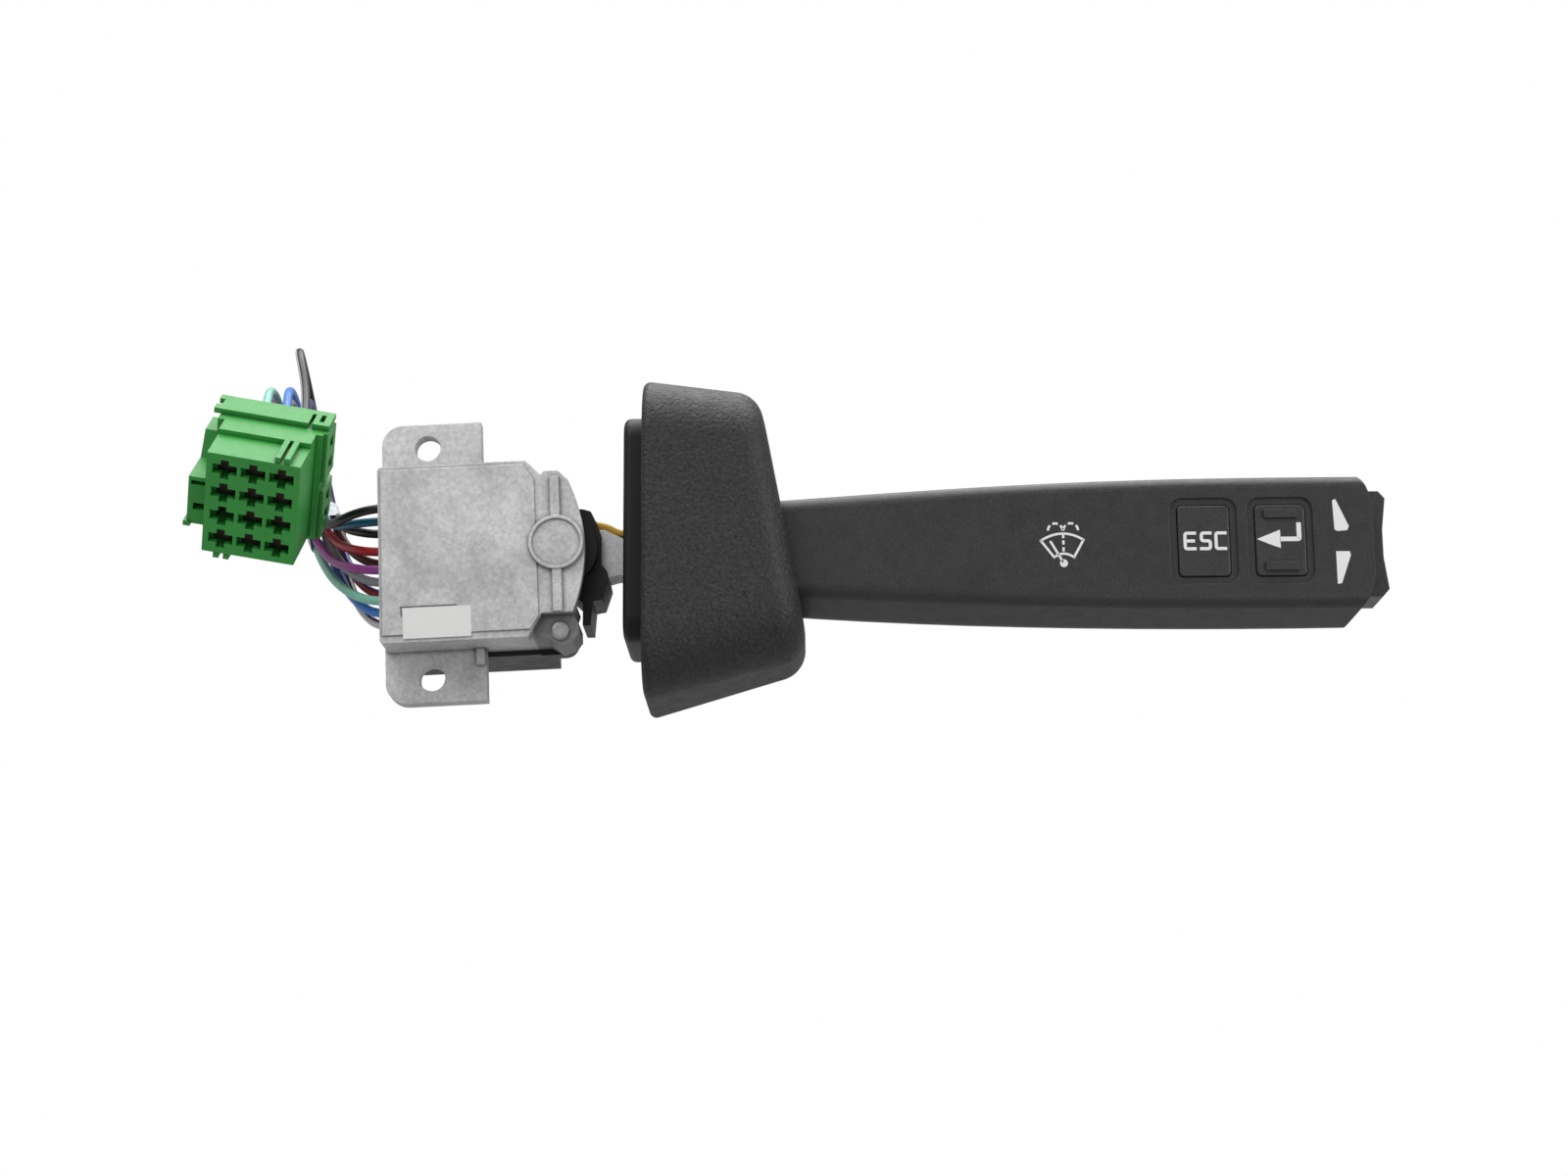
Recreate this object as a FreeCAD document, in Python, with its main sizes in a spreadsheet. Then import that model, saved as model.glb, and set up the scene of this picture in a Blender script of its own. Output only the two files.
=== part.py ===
import FreeCAD, Part
import math
import os
import re

import Sketcher

# Driving dimensions in millimetres and degrees. X runs along the lever, Y away from the driver, Z up.
# The origin lies midway between the two ear holes, on the back face of the ears.
DIMENSIONS = {
    # Ears and housing
    "ear_hole_spacing": 51.0,
    "ear_hole_bore": 5.6,
    "ear_thickness": 4.0,
    "ear_left": -9.9,
    "ear_right": 11.7,
    "ear_reach": 5.4,
    "ear_corner": 4.6,
    "housing_depth": 14.0,
    "housing_left": -9.6,
    "housing_top": 18.9,
    "housing_bottom": -19.6,
    "housing_wall": 2.4,
    "shoulder_round": 2.4,
    "nose_round": 2.2,
    "panel_height": 0.35,
    "pilot_depth": 8.0,
    "plate_thickness": 2.5,
    "housing_shoulder": 24.0,
    "shoulder_corner": 27.1,
    "nose_reach": 5.9,
    "nose_top": 16.4,
    "nose_top_right": 2.9,
    "nose_radius": 38.0,
    "opening_rise": 13.7,
    "opening_drop": 13.4,
    "rib_width": 2.0,
    "rib_height": 0.8,
    "boss_radius": 5.85,
    "boss_rim": 0.7,
    "boss_height": 1.0,
    "boss_dish": 0.5,
    # Eye with its rivet
    "eye_x": 28.3,
    "eye_z": -18.0,
    "eye_recess": 3.0,
    "eye_left": 24.6,
    "eye_right": 32.2,
    "eye_bottom": -21.3,
    "rivet_bore": 3.2,
    "rivet_head": 4.2,
    "rivet_head_height": 1.2,
    "rivet_play": 0.05,
    # Base
    "base_depth": 16.0,
    "base_left": -9.0,
    "base_right": 26.0,
    "base_top": 18.2,
    "base_bottom": -20.7,
    "base_wall": 2.0,
    "base_floor": 3.0,
    "base_rebate": 0.3,
    "gland_wall": 4.0,
    "lug_radius": 7.6,
    "eye_lug_radius": 2.9,
    "eye_lug_thickness": 4.0,
    "base_screw_inset": 5.0,
    "base_screw_bore": 2.5,
    "base_screw_head": 5.0,
    "base_screw_head_height": 2.0,
    # Contact board
    "board_thickness": 1.6,
    "board_play": 0.3,
    "drum_clearing": 0.6,
    "standoff_height": 2.2,
    "standoff_radius": 2.0,
    "contact_height": 0.4,
    "contact_width": 2.2,
    # Pivot and carrier
    "pivot_x": 28.15,
    "pivot_z": 0.5,
    "rest_droop": 2.3,
    "wiper_step": 7.0,
    "drum_radius": 8.4,
    "trunnion_radius": 3.0,
    "trunnion_length": 3.4,
    "bearing_play": 0.05,
    "face_play": 0.3,
    "sleeve_radius": 4.8,
    "sleeve_height": 2.0,
    "drum_slot_end": 7.4,
    "drum_slot_half": 4.4,
    "drum_slot_depth_half": 5.6,
    "shield_front": -6.6,
    "shield_back": 6.4,
    "shield_left": 5.4,
    "shield_right": 9.1,
    "shield_top": 9.2,
    "shield_bottom": -16.4,
    "window_half": 6.1,
    "window_back": 4.4,
    "channel_half": 3.7,
    "clip_top": 8.2,
    "detent_arm_end": 13.4,
    "detent_arm_half": 4.2,
    "plunger_radius": 1.7,
    "plunger_reach": 16.0,
    "plunger_bore_depth": 5.2,
    "plunger_inside": 2.0,
    "spring_wire": 0.5,
    "spring_radius": 1.15,
    "spring_turns": 3.0,
    "cam_play": 0.25,
    "cam_thickness": 5.0,
    "cam_back": 4.0,
    "slider_thickness": 1.6,
    # Lever arm
    "cross_pin_radius": 1.5,
    "cross_pin_length": 15.6,
    "arm_eye_radius": 4.1,
    "arm_eye_half": 4.0,
    "arm_tail": 6.6,
    "arm_tail_radius": 2.2,
    "arm_shoulder": 3.8,
    "arm_flare": 9.6,
    "arm_flare_half": 5.3,
    "arm_neck": 14.2,
    "arm_top": 3.0,
    "arm_bottom": -4.9,
    "arm_half_width": 3.6,
    "arm_end": 78.0,
    "arm_screw_first": 54.0,
    "arm_screw_pitch": 18.0,
    "arm_screw_bore": 2.6,
    "arm_wire_diameter": 1.5,
    "clip_half": 2.2,
    # Cowl and its back plate
    "cowl_rim": 18.5,
    "cowl_centre": 1.1,
    "cowl_half_height": 34.9,
    "cowl_half_depth": 23.5,
    "cowl_loft_length": 40.0,
    "cowl_height_taper": 7.5,
    "cowl_rise": 3.5,
    "cowl_depth_taper": 4.5,
    "cowl_corner": 13.0,
    "cowl_wall": 2.4,
    "cowl_end_top": 42.6,
    "cowl_end_bottom": 55.4,
    "cowl_end_fillet": 6.5,
    "cowl_rim_fillet": 1.5,
    "cowl_web": 30.0,
    "cowl_web_thickness": 2.4,
    "collar_play": 0.15,
    "tray_left": 14.2,
    "tray_centre": 3.5,
    "tray_half_height": 24.6,
    "tray_half_depth": 15.0,
    "tray_wall": 2.0,
    "tray_corner": 5.0,
    "tray_edge": 1.6,
    # Handle
    "handle_start": 36.0,
    "handle_end": 174.0,
    "handle_parting": 4.0,
    "handle_wall": 2.0,
    "handle_front_round": 3.0,
    "handle_side_round": 5.5,
    "handle_back_round": 3.4,
    "handle_tip_radius": 12.5,
    "handle_tip_flat": 6.5,
    "handle_tip_solid": 9.0,
    "handle_screw_head": 5.2,
    "handle_screw_head_height": 1.6,
    "handle_seat": 8.2,
    "handle_post_radius": 3.8,
    "handle_post_end": 9.0,
    "handle_face": 10.0,
    "board_post_radius": 2.0,
    # Button windows, buttons and boards
    "esc_left": 132.2,
    "esc_right": 143.5,
    "enter_left": 148.7,
    "enter_right": 159.7,
    "button_half_height": 7.9,
    "button_corner": 1.2,
    "button_play": 0.15,
    "button_proud": 0.5,
    "button_skirt": 1.2,
    "button_skirt_thickness": 1.2,
    "button_stem": 2.0,
    "button_travel": 0.8,
    "dish_margin": 1.5,
    "dish_depth": 0.45,
    "grip_length": 7.0,
    "grip_height": 1.9,
    "grip_rise": 0.6,
    "grip_inset": 1.2,
    "dome_radius": 4.0,
    "dome_height": 0.9,
    "key_board_front": -3.4,
    "key_board_thickness": 1.6,
    "key_board_left": 122.0,
    "key_board_right": 164.0,
    "key_board_half": 10.5,
    # Tip rocker
    "rocker_axis": 169.6,
    "rocker_half_height": 11.6,
    "rocker_half_depth": 6.0,
    "rocker_proud": 3.6,
    "rocker_waist": 2.7,
    "rocker_play": 0.5,
    "rocker_pin_radius": 1.2,
    "rocker_pin_front": -8.0,
    "rocker_pin_back": 8.8,
    "rocker_ear_half": 2.6,
    # Connector, in its own tilted frame
    "connector_x": -36.7,
    "connector_y": -14.0,
    "connector_z": 11.1,
    "connector_yaw": 3.0,
    "connector_pitch": 12.0,
    "connector_roll": 41.0,
    "block_width": 20.0,
    "block_height": 23.5,
    "block_depth": 14.5,
    "connector_depth": 24.0,
    "cavity_column_pitch": 6.1,
    "cavity_row_pitch": 5.5,
    "cavity_size": 4.3,
    "cavity_front": 1.6,
    "cross_width": 5.3,
    "cross_arm": 2.2,
    "cross_height": 4.4,
    "cross_slot": 1.8,
    "frame_side": 11.5,
    "frame_top": 12.9,
    "frame_foot": 0.8,
    "frame_play": 0.1,
    "step_depth": 9.6,
    "bar_start": 17.0,
    "bar_left": 13.0,
    "bar_right": 12.2,
    "bar_height": 1.2,
    "rail_thickness": 0.9,
    "rail_gap_top": 1.2,
    "rail_gap": 2.1,
    "hook_reach": 1.5,
    "guide_rib": 1.2,
    "guide_rib_height": 1.3,
    "guide_rib_gap": 0.8,
    "latch_left": 14.5,
    "latch_front": 3.8,
    "latch_low": -7.7,
    "latch_high": 3.5,
    "latch_toe_reach": 0.7,
    # Terminals and wires
    "terminal_width": 3.6,
    "terminal_height": 2.6,
    "terminal_front": 3.0,
    "terminal_back": 15.0,
    "wire_diameter": 2.0,
    "wire_play": 0.1,
    "wire_seat": 3.0,
    "gland_run": 3.7,
}

doc = FreeCAD.newDocument("CombinationStalkSwitch")
sheet = doc.addObject("Spreadsheet::Sheet", "Sizes")
for row, (alias, size) in enumerate(DIMENSIONS.items(), start=1):
    sheet.set(f"A{row}", alias)
    sheet.set(f"B{row}", str(size))
    sheet.setAlias(f"B{row}", alias)
doc.recompute()


def linked(text):
    """An expression with each size name pointed at its cell."""
    return re.sub(r"[a-z]\w*", lambda word: "Sizes." + word[0] if word[0] in DIMENSIONS else word[0], str(text))


def value(text):
    return float(sheet.evalExpression(linked(text)))


def body(name):
    return doc.addObject("PartDesign::Body", name)


def sketch(owner, name, role, offset="0"):
    """A sketch on an origin plane of its own body: XZ_Plane faces -Y, YZ_Plane +X and XY_Plane +Z."""
    drawn = owner.newObject("Sketcher::SketchObject", name)
    plane = next(item for item in owner.Origin.OriginFeatures if item.Role == role)
    drawn.AttachmentSupport = [(plane, "")]
    drawn.MapMode = "FlatFace"
    drawn.setExpression("AttachmentOffset.Base.z", linked(offset))
    return drawn


def constrain(drawn, wanted):
    """Adds constraints in one go, each with the expression that drives it or None."""
    indices = drawn.addConstraint([constraint for constraint, text in wanted])
    for index, (constraint, text) in zip(indices, wanted):
        if text is not None:
            drawn.setExpression(f"Constraints[{index}]", linked(text))


def fixed(geometry, point, across, up):
    """Two driven distances that hold one point of a geometry."""
    return [
        (Sketcher.Constraint("DistanceX", -1, 1, geometry, point, value(across)), across),
        (Sketcher.Constraint("DistanceY", -1, 1, geometry, point, value(up)), up),
    ]


def outline(drawn, corners):
    """A closed outline. A corner with a third entry starts an outward arc of that radius."""
    spots = [FreeCAD.Vector(value(corner[0]), value(corner[1]), 0) for corner in corners]
    first = drawn.GeometryCount
    wanted = []
    for number, corner in enumerate(corners):
        here = spots[number]
        there = spots[(number + 1) % len(spots)]
        if len(corner) == 2:
            drawn.addGeometry(Part.LineSegment(here, there))
        else:
            radius = value(corner[2])
            chord = there - here
            inward = FreeCAD.Vector(-chord.y, chord.x, 0).normalize()
            centre = (here + there) / 2 + inward * math.sqrt(radius**2 - chord.Length**2 / 4)
            angles = [math.atan2(spot.y - centre.y, spot.x - centre.x) for spot in (here, there)]
            arc = Part.ArcOfCircle(Part.Circle(centre, FreeCAD.Vector(0, 0, 1), radius), *angles)
            drawn.addGeometry(arc)
            wanted.append((Sketcher.Constraint("Radius", first + number, radius), corner[2]))
        after = first + (number + 1) % len(corners)
        wanted.append((Sketcher.Constraint("Coincident", first + number, 2, after, 1), None))
        wanted += fixed(first + number, 1, corner[0], corner[1])
    constrain(drawn, wanted)


def rounded_outline(drawn, corners):
    """A closed anticlockwise outline whose every corner, given with its radius, is rounded by a tangent arc."""
    count = len(corners)
    spots = [FreeCAD.Vector(value(across), value(up), 0) for across, up, radius in corners]
    radii = [value(radius) for across, up, radius in corners]
    first = drawn.GeometryCount
    entries, leaves, centres = [], [], []
    for number, spot in enumerate(spots):
        back = (spots[number - 1] - spot).normalize()
        ahead = (spots[(number + 1) % count] - spot).normalize()
        half = back.getAngle(ahead) / 2
        reach = radii[number] / math.tan(half)
        entries.append(spot + back * reach)
        leaves.append(spot + ahead * reach)
        centres.append(spot + (back + ahead).normalize() * (radii[number] / math.sin(half)))
    for number in range(count):
        drawn.addGeometry(Part.LineSegment(leaves[number], entries[(number + 1) % count]))
    for number, centre in enumerate(centres):
        ends = (entries[number], leaves[number])
        angles = [math.atan2(spot.y - centre.y, spot.x - centre.x) for spot in ends]
        round_corner = Part.Circle(centre, FreeCAD.Vector(0, 0, 1), radii[number])
        drawn.addGeometry(Part.ArcOfCircle(round_corner, *angles))
    for spot in spots:
        drawn.addGeometry(Part.Point(spot), True)
    wanted = []
    for number, (across, up, radius) in enumerate(corners):
        line, before = first + number, first + (number - 1) % count
        arc, corner = first + count + number, first + 2 * count + number
        wanted.append((Sketcher.Constraint("Tangent", before, 2, arc, 1), None))
        wanted.append((Sketcher.Constraint("Tangent", arc, 2, line, 1), None))
        wanted.append((Sketcher.Constraint("Radius", arc, radii[number]), radius))
        wanted.append((Sketcher.Constraint("PointOnObject", corner, 1, line), None))
        wanted.append((Sketcher.Constraint("PointOnObject", corner, 1, before), None))
        wanted += fixed(corner, 1, across, up)
    constrain(drawn, wanted)


def rectangle(drawn, left, right, low, high):
    outline(drawn, [(left, low), (right, low), (right, high), (left, high)])


def circle(drawn, across, up, radius):
    spot = FreeCAD.Vector(value(across), value(up), 0)
    index = drawn.addGeometry(Part.Circle(spot, FreeCAD.Vector(0, 0, 1), value(radius)))
    wanted = [(Sketcher.Constraint("Radius", index, value(radius)), radius)]
    constrain(drawn, wanted + fixed(index, 3, across, up))


def extrude(owner, kind, drawn, length, reverse=False):
    made = owner.newObject("PartDesign::" + kind, drawn.Name + kind)
    made.Profile = drawn
    made.Reversed = reverse
    made.setExpression("Length", linked(length))
    doc.recompute()
    return made


def pad(owner, drawn, length, reverse=False):
    return extrude(owner, "Pad", drawn, length, reverse)


def pocket(owner, drawn, length, reverse=False):
    return extrude(owner, "Pocket", drawn, length, reverse)


def loft(owner, kind, drawings):
    made = owner.newObject("PartDesign::" + kind, drawings[0].Name + kind)
    made.Profile = drawings[0]
    made.Sections = drawings[1:]
    doc.recompute()
    return made


def edges_where(feature, test):
    """Names of the edges whose two end points and middle pass the test."""
    names = []
    for number, edge in enumerate(feature.Shape.Edges, start=1):
        middle = edge.valueAt((edge.FirstParameter + edge.LastParameter) / 2)
        ends = [vertex.Point for vertex in edge.Vertexes]
        if test(ends[0], ends[-1], middle):
            names.append(f"Edge{number}")
    return names


def near(first, second, within=0.05):
    return abs(first - second) < within


def upright_edges(feature, axis, places):
    """Edges along one axis that pass through the given places in the plane across it."""
    others = [name for name in "xyz" if name != axis]
    spots = [(value(across), value(up)) for across, up in places]

    def test(start, stop, middle):
        if near(getattr(start, axis), getattr(stop, axis), 0.2):
            return False
        for spot in (start, stop):
            across, up = getattr(spot, others[0]), getattr(spot, others[1])
            if not any(near(across, place[0]) and near(up, place[1]) for place in spots):
                return False
        return True

    return edges_where(feature, test)


def fillet(owner, name, names, radius):
    made = owner.newObject("PartDesign::Fillet", name)
    made.Base = (owner.Tip if owner.Tip != made else made.BaseFeature, names)
    made.setExpression("Radius", linked(radius))
    doc.recompute()
    return made


def box(name, left, right, front, back, low, high, carried=""):
    """A plain block between six limits, in the part's frame or in a carried one such as LEVER."""
    made = doc.addObject("Part::Box", name)
    made.setExpression("Length", linked(f"({right}) - ({left})"))
    made.setExpression("Width", linked(f"({back}) - ({front})"))
    made.setExpression("Height", linked(f"({high}) - ({low})"))
    corner = f"placement(vector({left}; {front}; {low}); rotation(0; 0; 0))"
    made.setExpression("Placement", linked(f"{carried} * {corner}" if carried else corner))
    return made


def boolean(kind, name, base, tool):
    made = doc.addObject("Part::" + kind, name)
    made.Base = base
    made.Tool = tool
    doc.recompute()
    return made


def fused(name, pieces):
    made = doc.addObject("Part::MultiFuse", name)
    made.Shapes = pieces
    doc.recompute()
    return made


NODES = []


def keep(thing, label, placement=None):
    """Registers an object as one sub-part under its own label."""
    thing.Label = label
    if placement:
        thing.setExpression("Placement", linked(placement))
    NODES.append((label, thing))
    return thing


# The lever's rest placement: along its own X from the pivot, drooping a little
LEVER = "placement(vector(pivot_x; 0; pivot_z); rotation(vector(0; 1; 0); rest_droop))"
# The connector hangs tilted on its wires, mouth towards the driver and down
CONNECTOR = (
    "placement(vector(connector_x; connector_y; connector_z);"
    " rotation(connector_yaw; connector_pitch; connector_roll))"
)


# Housing: a die-cast cover with two ears, an open right side and a nose over the pivot
housing = body("HousingBody")
shell = sketch(housing, "ShellOutline", "XZ_Plane")
outline(
    shell,
    [
        ("housing_left", "housing_bottom"),
        ("eye_left - 3", "housing_bottom"),
        ("eye_left", "eye_z + 3.4"),
        ("pivot_x + 3.1", "eye_z + 3.4", "nose_radius"),
        ("pivot_x + nose_reach", "pivot_z + 2.4", "nose_radius"),
        ("pivot_x + nose_top_right", "nose_top - nose_round"),
        ("pivot_x + nose_top_right - nose_round", "nose_top"),
        ("shoulder_corner - 1.2", "nose_top"),
        ("shoulder_corner - 1.6", "nose_top - 0.7"),
        ("shoulder_corner - 2.3", "nose_top - 0.5"),
        ("housing_shoulder + 0.4", "housing_top - shoulder_round"),
        ("housing_shoulder + 0.4 - shoulder_round", "housing_top"),
        ("housing_left", "housing_top"),
    ],
)
pad(housing, shell, "housing_depth")
eye = sketch(housing, "EyeOutline", "XZ_Plane")
outline(
    eye,
    [
        ("eye_left - 5", "housing_bottom"),
        ("eye_left + 1", "housing_bottom"),
        ("eye_x", "eye_bottom"),
        ("eye_right - 1.3", "eye_bottom + 0.9"),
        ("eye_right", "eye_z - 0.8"),
        ("eye_right", "eye_z + 1.4"),
        ("pivot_x + 3.1", "eye_z + 3.5"),
        ("eye_left", "eye_z + 3.5"),
        ("eye_left - 5", "eye_z"),
    ],
)
pad(housing, eye, "housing_depth - eye_recess")
hollow = sketch(housing, "ShellHollow", "XZ_Plane")
outline(
    hollow,
    [
        ("housing_left + housing_wall", "housing_bottom + housing_wall"),
        ("eye_left - 3.6", "housing_bottom + housing_wall"),
        ("eye_left - 1.4", "pivot_z - opening_drop"),
        ("pivot_x + 15", "pivot_z - opening_drop"),
        ("pivot_x + 15", "pivot_z + opening_rise"),
        ("shoulder_corner - 2 * housing_wall", "pivot_z + opening_rise"),
        ("housing_shoulder - shoulder_round - 0.6", "housing_top - housing_wall"),
        ("housing_left + housing_wall", "housing_top - housing_wall"),
    ],
)
pocket(housing, hollow, "housing_depth - plate_thickness", reverse=True)
for side, name in ((1, "Upper"), (-1, "Lower")):
    ear = sketch(housing, name + "Ear", "XZ_Plane")
    tip = f"{side} * (ear_hole_spacing / 2 + ear_reach)"
    root = "housing_top - 1" if side > 0 else "housing_bottom + 1"
    rectangle(ear, "ear_left", "ear_right", *((root, tip) if side > 0 else (tip, root)))
    pad(housing, ear, "ear_thickness")
    hole = sketch(housing, name + "EarHole", "XZ_Plane")
    circle(hole, "0", f"{side} * ear_hole_spacing / 2", "ear_hole_bore / 2")
    pocket(housing, hole, "ear_thickness", reverse=True)
    rounded = upright_edges(housing.Tip, "y", [("ear_left", tip)])
    fillet(housing, name + "EarCorner", rounded, "ear_corner")
sleeve = sketch(housing, "TrunnionSleeve", "XZ_Plane", "housing_depth - plate_thickness - sleeve_height")
circle(sleeve, "pivot_x", "pivot_z", "sleeve_radius")
pad(housing, sleeve, "sleeve_height")
panel = sketch(housing, "FrontPanel", "XZ_Plane", "housing_depth")
outline(
    panel,
    [
        ("housing_left + 0.6", "housing_bottom + 1.6"),
        ("eye_left - 2.4", "housing_bottom + 1.6"),
        ("eye_left - 0.6", "housing_bottom + 4.4"),
        ("housing_shoulder - 0.2", "housing_top - 4.4"),
        ("housing_shoulder - 2.4", "housing_top - 0.8"),
        ("housing_left + 0.6", "housing_top - 0.8"),
    ],
)
pad(housing, panel, "panel_height")
rib = sketch(housing, "NoseRib", "XZ_Plane", "housing_depth")
rectangle(rib, "pivot_x - rib_width / 2", "pivot_x + rib_width / 2", "eye_z + 3.5", "nose_top - 1.4")
pad(housing, rib, "rib_height")
boss = sketch(housing, "NoseBoss", "XZ_Plane", "housing_depth")
circle(boss, "pivot_x", "pivot_z", "boss_radius")
pad(housing, boss, "boss_height")
dish = sketch(housing, "BossDish", "XZ_Plane", "housing_depth + boss_height")
circle(dish, "pivot_x", "pivot_z", "boss_radius - boss_rim")
pocket(housing, dish, "boss_dish")
bore = sketch(housing, "TrunnionBore", "XZ_Plane", "housing_depth - plate_thickness - sleeve_height")
circle(bore, "pivot_x", "pivot_z", "trunnion_radius + bearing_play")
pocket(housing, bore, "trunnion_length + face_play", reverse=True)
rivet_hole = sketch(housing, "RivetHole", "XZ_Plane")
circle(rivet_hole, "eye_x", "eye_z", "rivet_bore / 2 + rivet_play")
pocket(housing, rivet_hole, "housing_depth", reverse=True)
for number, (across, up) in enumerate(
    (("base_left + base_screw_inset", "base_top - base_screw_inset"),
     ("base_left + base_screw_inset", "base_bottom + base_screw_inset"))
):
    post = sketch(housing, f"ScrewPost{number}", "XZ_Plane")
    circle(post, across, up, "base_screw_bore / 2 + 1.6")
    pad(housing, post, "housing_depth - 1")
    pilot = sketch(housing, f"ScrewPilot{number}", "XZ_Plane")
    circle(pilot, across, up, "base_screw_bore / 2 + rivet_play")
    pocket(housing, pilot, "pilot_depth", reverse=True)
gusset = sketch(housing, "EarGusset", "XZ_Plane", "ear_thickness")
rectangle(gusset, "ear_right - 2", "ear_right - 0.2", "housing_bottom - 3.6", "housing_bottom + 1")
pad(housing, gusset, "1.4")
rebate = sketch(housing, "BaseRebate", "XZ_Plane")
rectangle(rebate, "housing_left - 1", "pivot_x + 15", "base_bottom - 0.2", "base_top + 0.2")
pocket(housing, rebate, "base_rebate", reverse=True)
corners = upright_edges(housing.Tip, "y", [("housing_left", "housing_top"), ("housing_left", "housing_bottom")])
fillet(housing, "HousingCorners", corners, "0.8")
keep(housing, "housing")

# Base: a moulded box behind the housing, with a lug for the pivot and a gland wall for the wires
WIRE_ROWS = (1.5, 0.5, -0.5, -1.5)
WIRE_COLUMNS = (-1, 0, 1)
EMPTY = (-1, -0.5)
# Where the wires end in the gland wall: centre, step per column and step per row
GLAND_CENTRE = (value("base_left + wire_seat"), 7.2, 2.0)
GLAND_COLUMN = (0.0, 2.9, -2.3)
GLAND_ROW = (0.0, -0.4, -7.2)

base = body("BaseBody")
base_block = sketch(base, "BaseOutline", "XZ_Plane", "base_rebate")
rectangle(base_block, "base_left", "base_right", "base_bottom", "base_top")
pad(base, base_block, "base_depth + base_rebate", reverse=True)
base_lug = sketch(base, "PivotLug", "XZ_Plane", "-base_depth")
outline(
    base_lug,
    [
        ("base_right - 1", "pivot_z - lug_radius"),
        ("pivot_x", "pivot_z - lug_radius", "lug_radius * 1.0001"),
        ("pivot_x", "pivot_z + lug_radius"),
        ("base_right - 1", "pivot_z + lug_radius"),
    ],
)
pad(base, base_lug, "base_floor")
base_hollow = sketch(base, "BaseHollow", "XZ_Plane", "base_rebate")
rectangle(
    base_hollow, "base_left + gland_wall", "base_right + 5", "base_bottom + base_wall", "base_top - base_wall"
)
pocket(base, base_hollow, "base_depth - base_floor + base_rebate")
eye_lug = sketch(base, "EyeLug", "XZ_Plane", "base_rebate")
outline(
    eye_lug,
    [
        ("base_right - 3", "eye_z - eye_lug_radius"),
        ("eye_x", "eye_z - eye_lug_radius", "eye_lug_radius * 1.0001"),
        ("eye_x", "eye_z + eye_lug_radius"),
        ("base_right - 3", "eye_z + eye_lug_radius"),
    ],
)
pad(base, eye_lug, "eye_lug_thickness + base_rebate", reverse=True)
base_bores = sketch(base, "BaseBores", "XZ_Plane", "base_rebate")
circle(base_bores, "pivot_x", "pivot_z", "trunnion_radius + bearing_play")
circle(base_bores, "eye_x", "eye_z", "rivet_bore / 2 + rivet_play")
pocket(base, base_bores, "base_depth + base_rebate")
SCREWS = [
    ("base_left + base_screw_inset", "base_top - base_screw_inset"),
    ("base_left + base_screw_inset", "base_bottom + base_screw_inset"),
]
for number, (across, up) in enumerate(SCREWS):
    post = sketch(base, f"BasePost{number}", "XZ_Plane", "base_rebate")
    circle(post, across, up, "base_screw_head / 2 + 1")
    pad(base, post, "base_depth + base_rebate", reverse=True)
    passage = sketch(base, f"BaseScrewHole{number}", "XZ_Plane", "base_rebate")
    circle(passage, across, up, "base_screw_bore / 2 + rivet_play")
    pocket(base, passage, "base_depth + base_rebate")
    sink = sketch(base, f"BaseScrewSink{number}", "XZ_Plane", "-base_depth")
    circle(sink, across, up, "base_screw_head / 2 + rivet_play")
    pocket(base, sink, "base_screw_head_height", reverse=True)
standoffs = sketch(base, "Standoffs", "XZ_Plane", "base_floor - base_depth")
for up in ("base_bottom + base_wall + 4", "base_top - base_wall - 4"):
    circle(standoffs, "base_right - 6", up, "standoff_radius")
circle(standoffs, "base_left + gland_wall + 6", "0", "standoff_radius")
pad(base, standoffs, "standoff_height")
glands = sketch(base, "WireGlands", "YZ_Plane", "base_left")
for row in WIRE_ROWS:
    for column in WIRE_COLUMNS:
        if (column, row) != EMPTY:
            across = f"{GLAND_CENTRE[1] + column * GLAND_COLUMN[1] + row * GLAND_ROW[1]}"
            up = f"{GLAND_CENTRE[2] + column * GLAND_COLUMN[2] + row * GLAND_ROW[2]}"
            circle(glands, across, up, "wire_diameter / 2 + wire_play")
pocket(base, glands, "wire_seat", reverse=True)
keep(base, "base_block")

# Contact board with its printed contact bars, on the base's standoffs
board = body("ContactBoardBody")
board_plate = sketch(board, "BoardPlate", "XZ_Plane", "base_floor + standoff_height - base_depth")
rectangle(
    board_plate,
    "base_left + gland_wall + board_play",
    "base_right - 1",
    "base_bottom + base_wall + board_play",
    "base_top - base_wall - board_play",
)
pad(board, board_plate, "board_thickness")
clearings = sketch(board, "ScrewClearings", "XZ_Plane")
for across, up in SCREWS:
    circle(clearings, across, up, "base_screw_head / 2 + 1 + board_play")
circle(clearings, "pivot_x", "pivot_z", "drum_radius + drum_clearing")
pocket(board, clearings, "base_depth")
bars = sketch(board, "ContactBars", "XZ_Plane", "base_floor + standoff_height + board_thickness - base_depth")
for number in range(3):
    middle = f"pivot_z + {number - 1} * contact_width * 1.8"
    rectangle(bars, "9", "19", f"{middle} - contact_width / 2", f"{middle} + contact_width / 2")
pad(board, bars, "contact_height")
keep(board, "contact_board")

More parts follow.
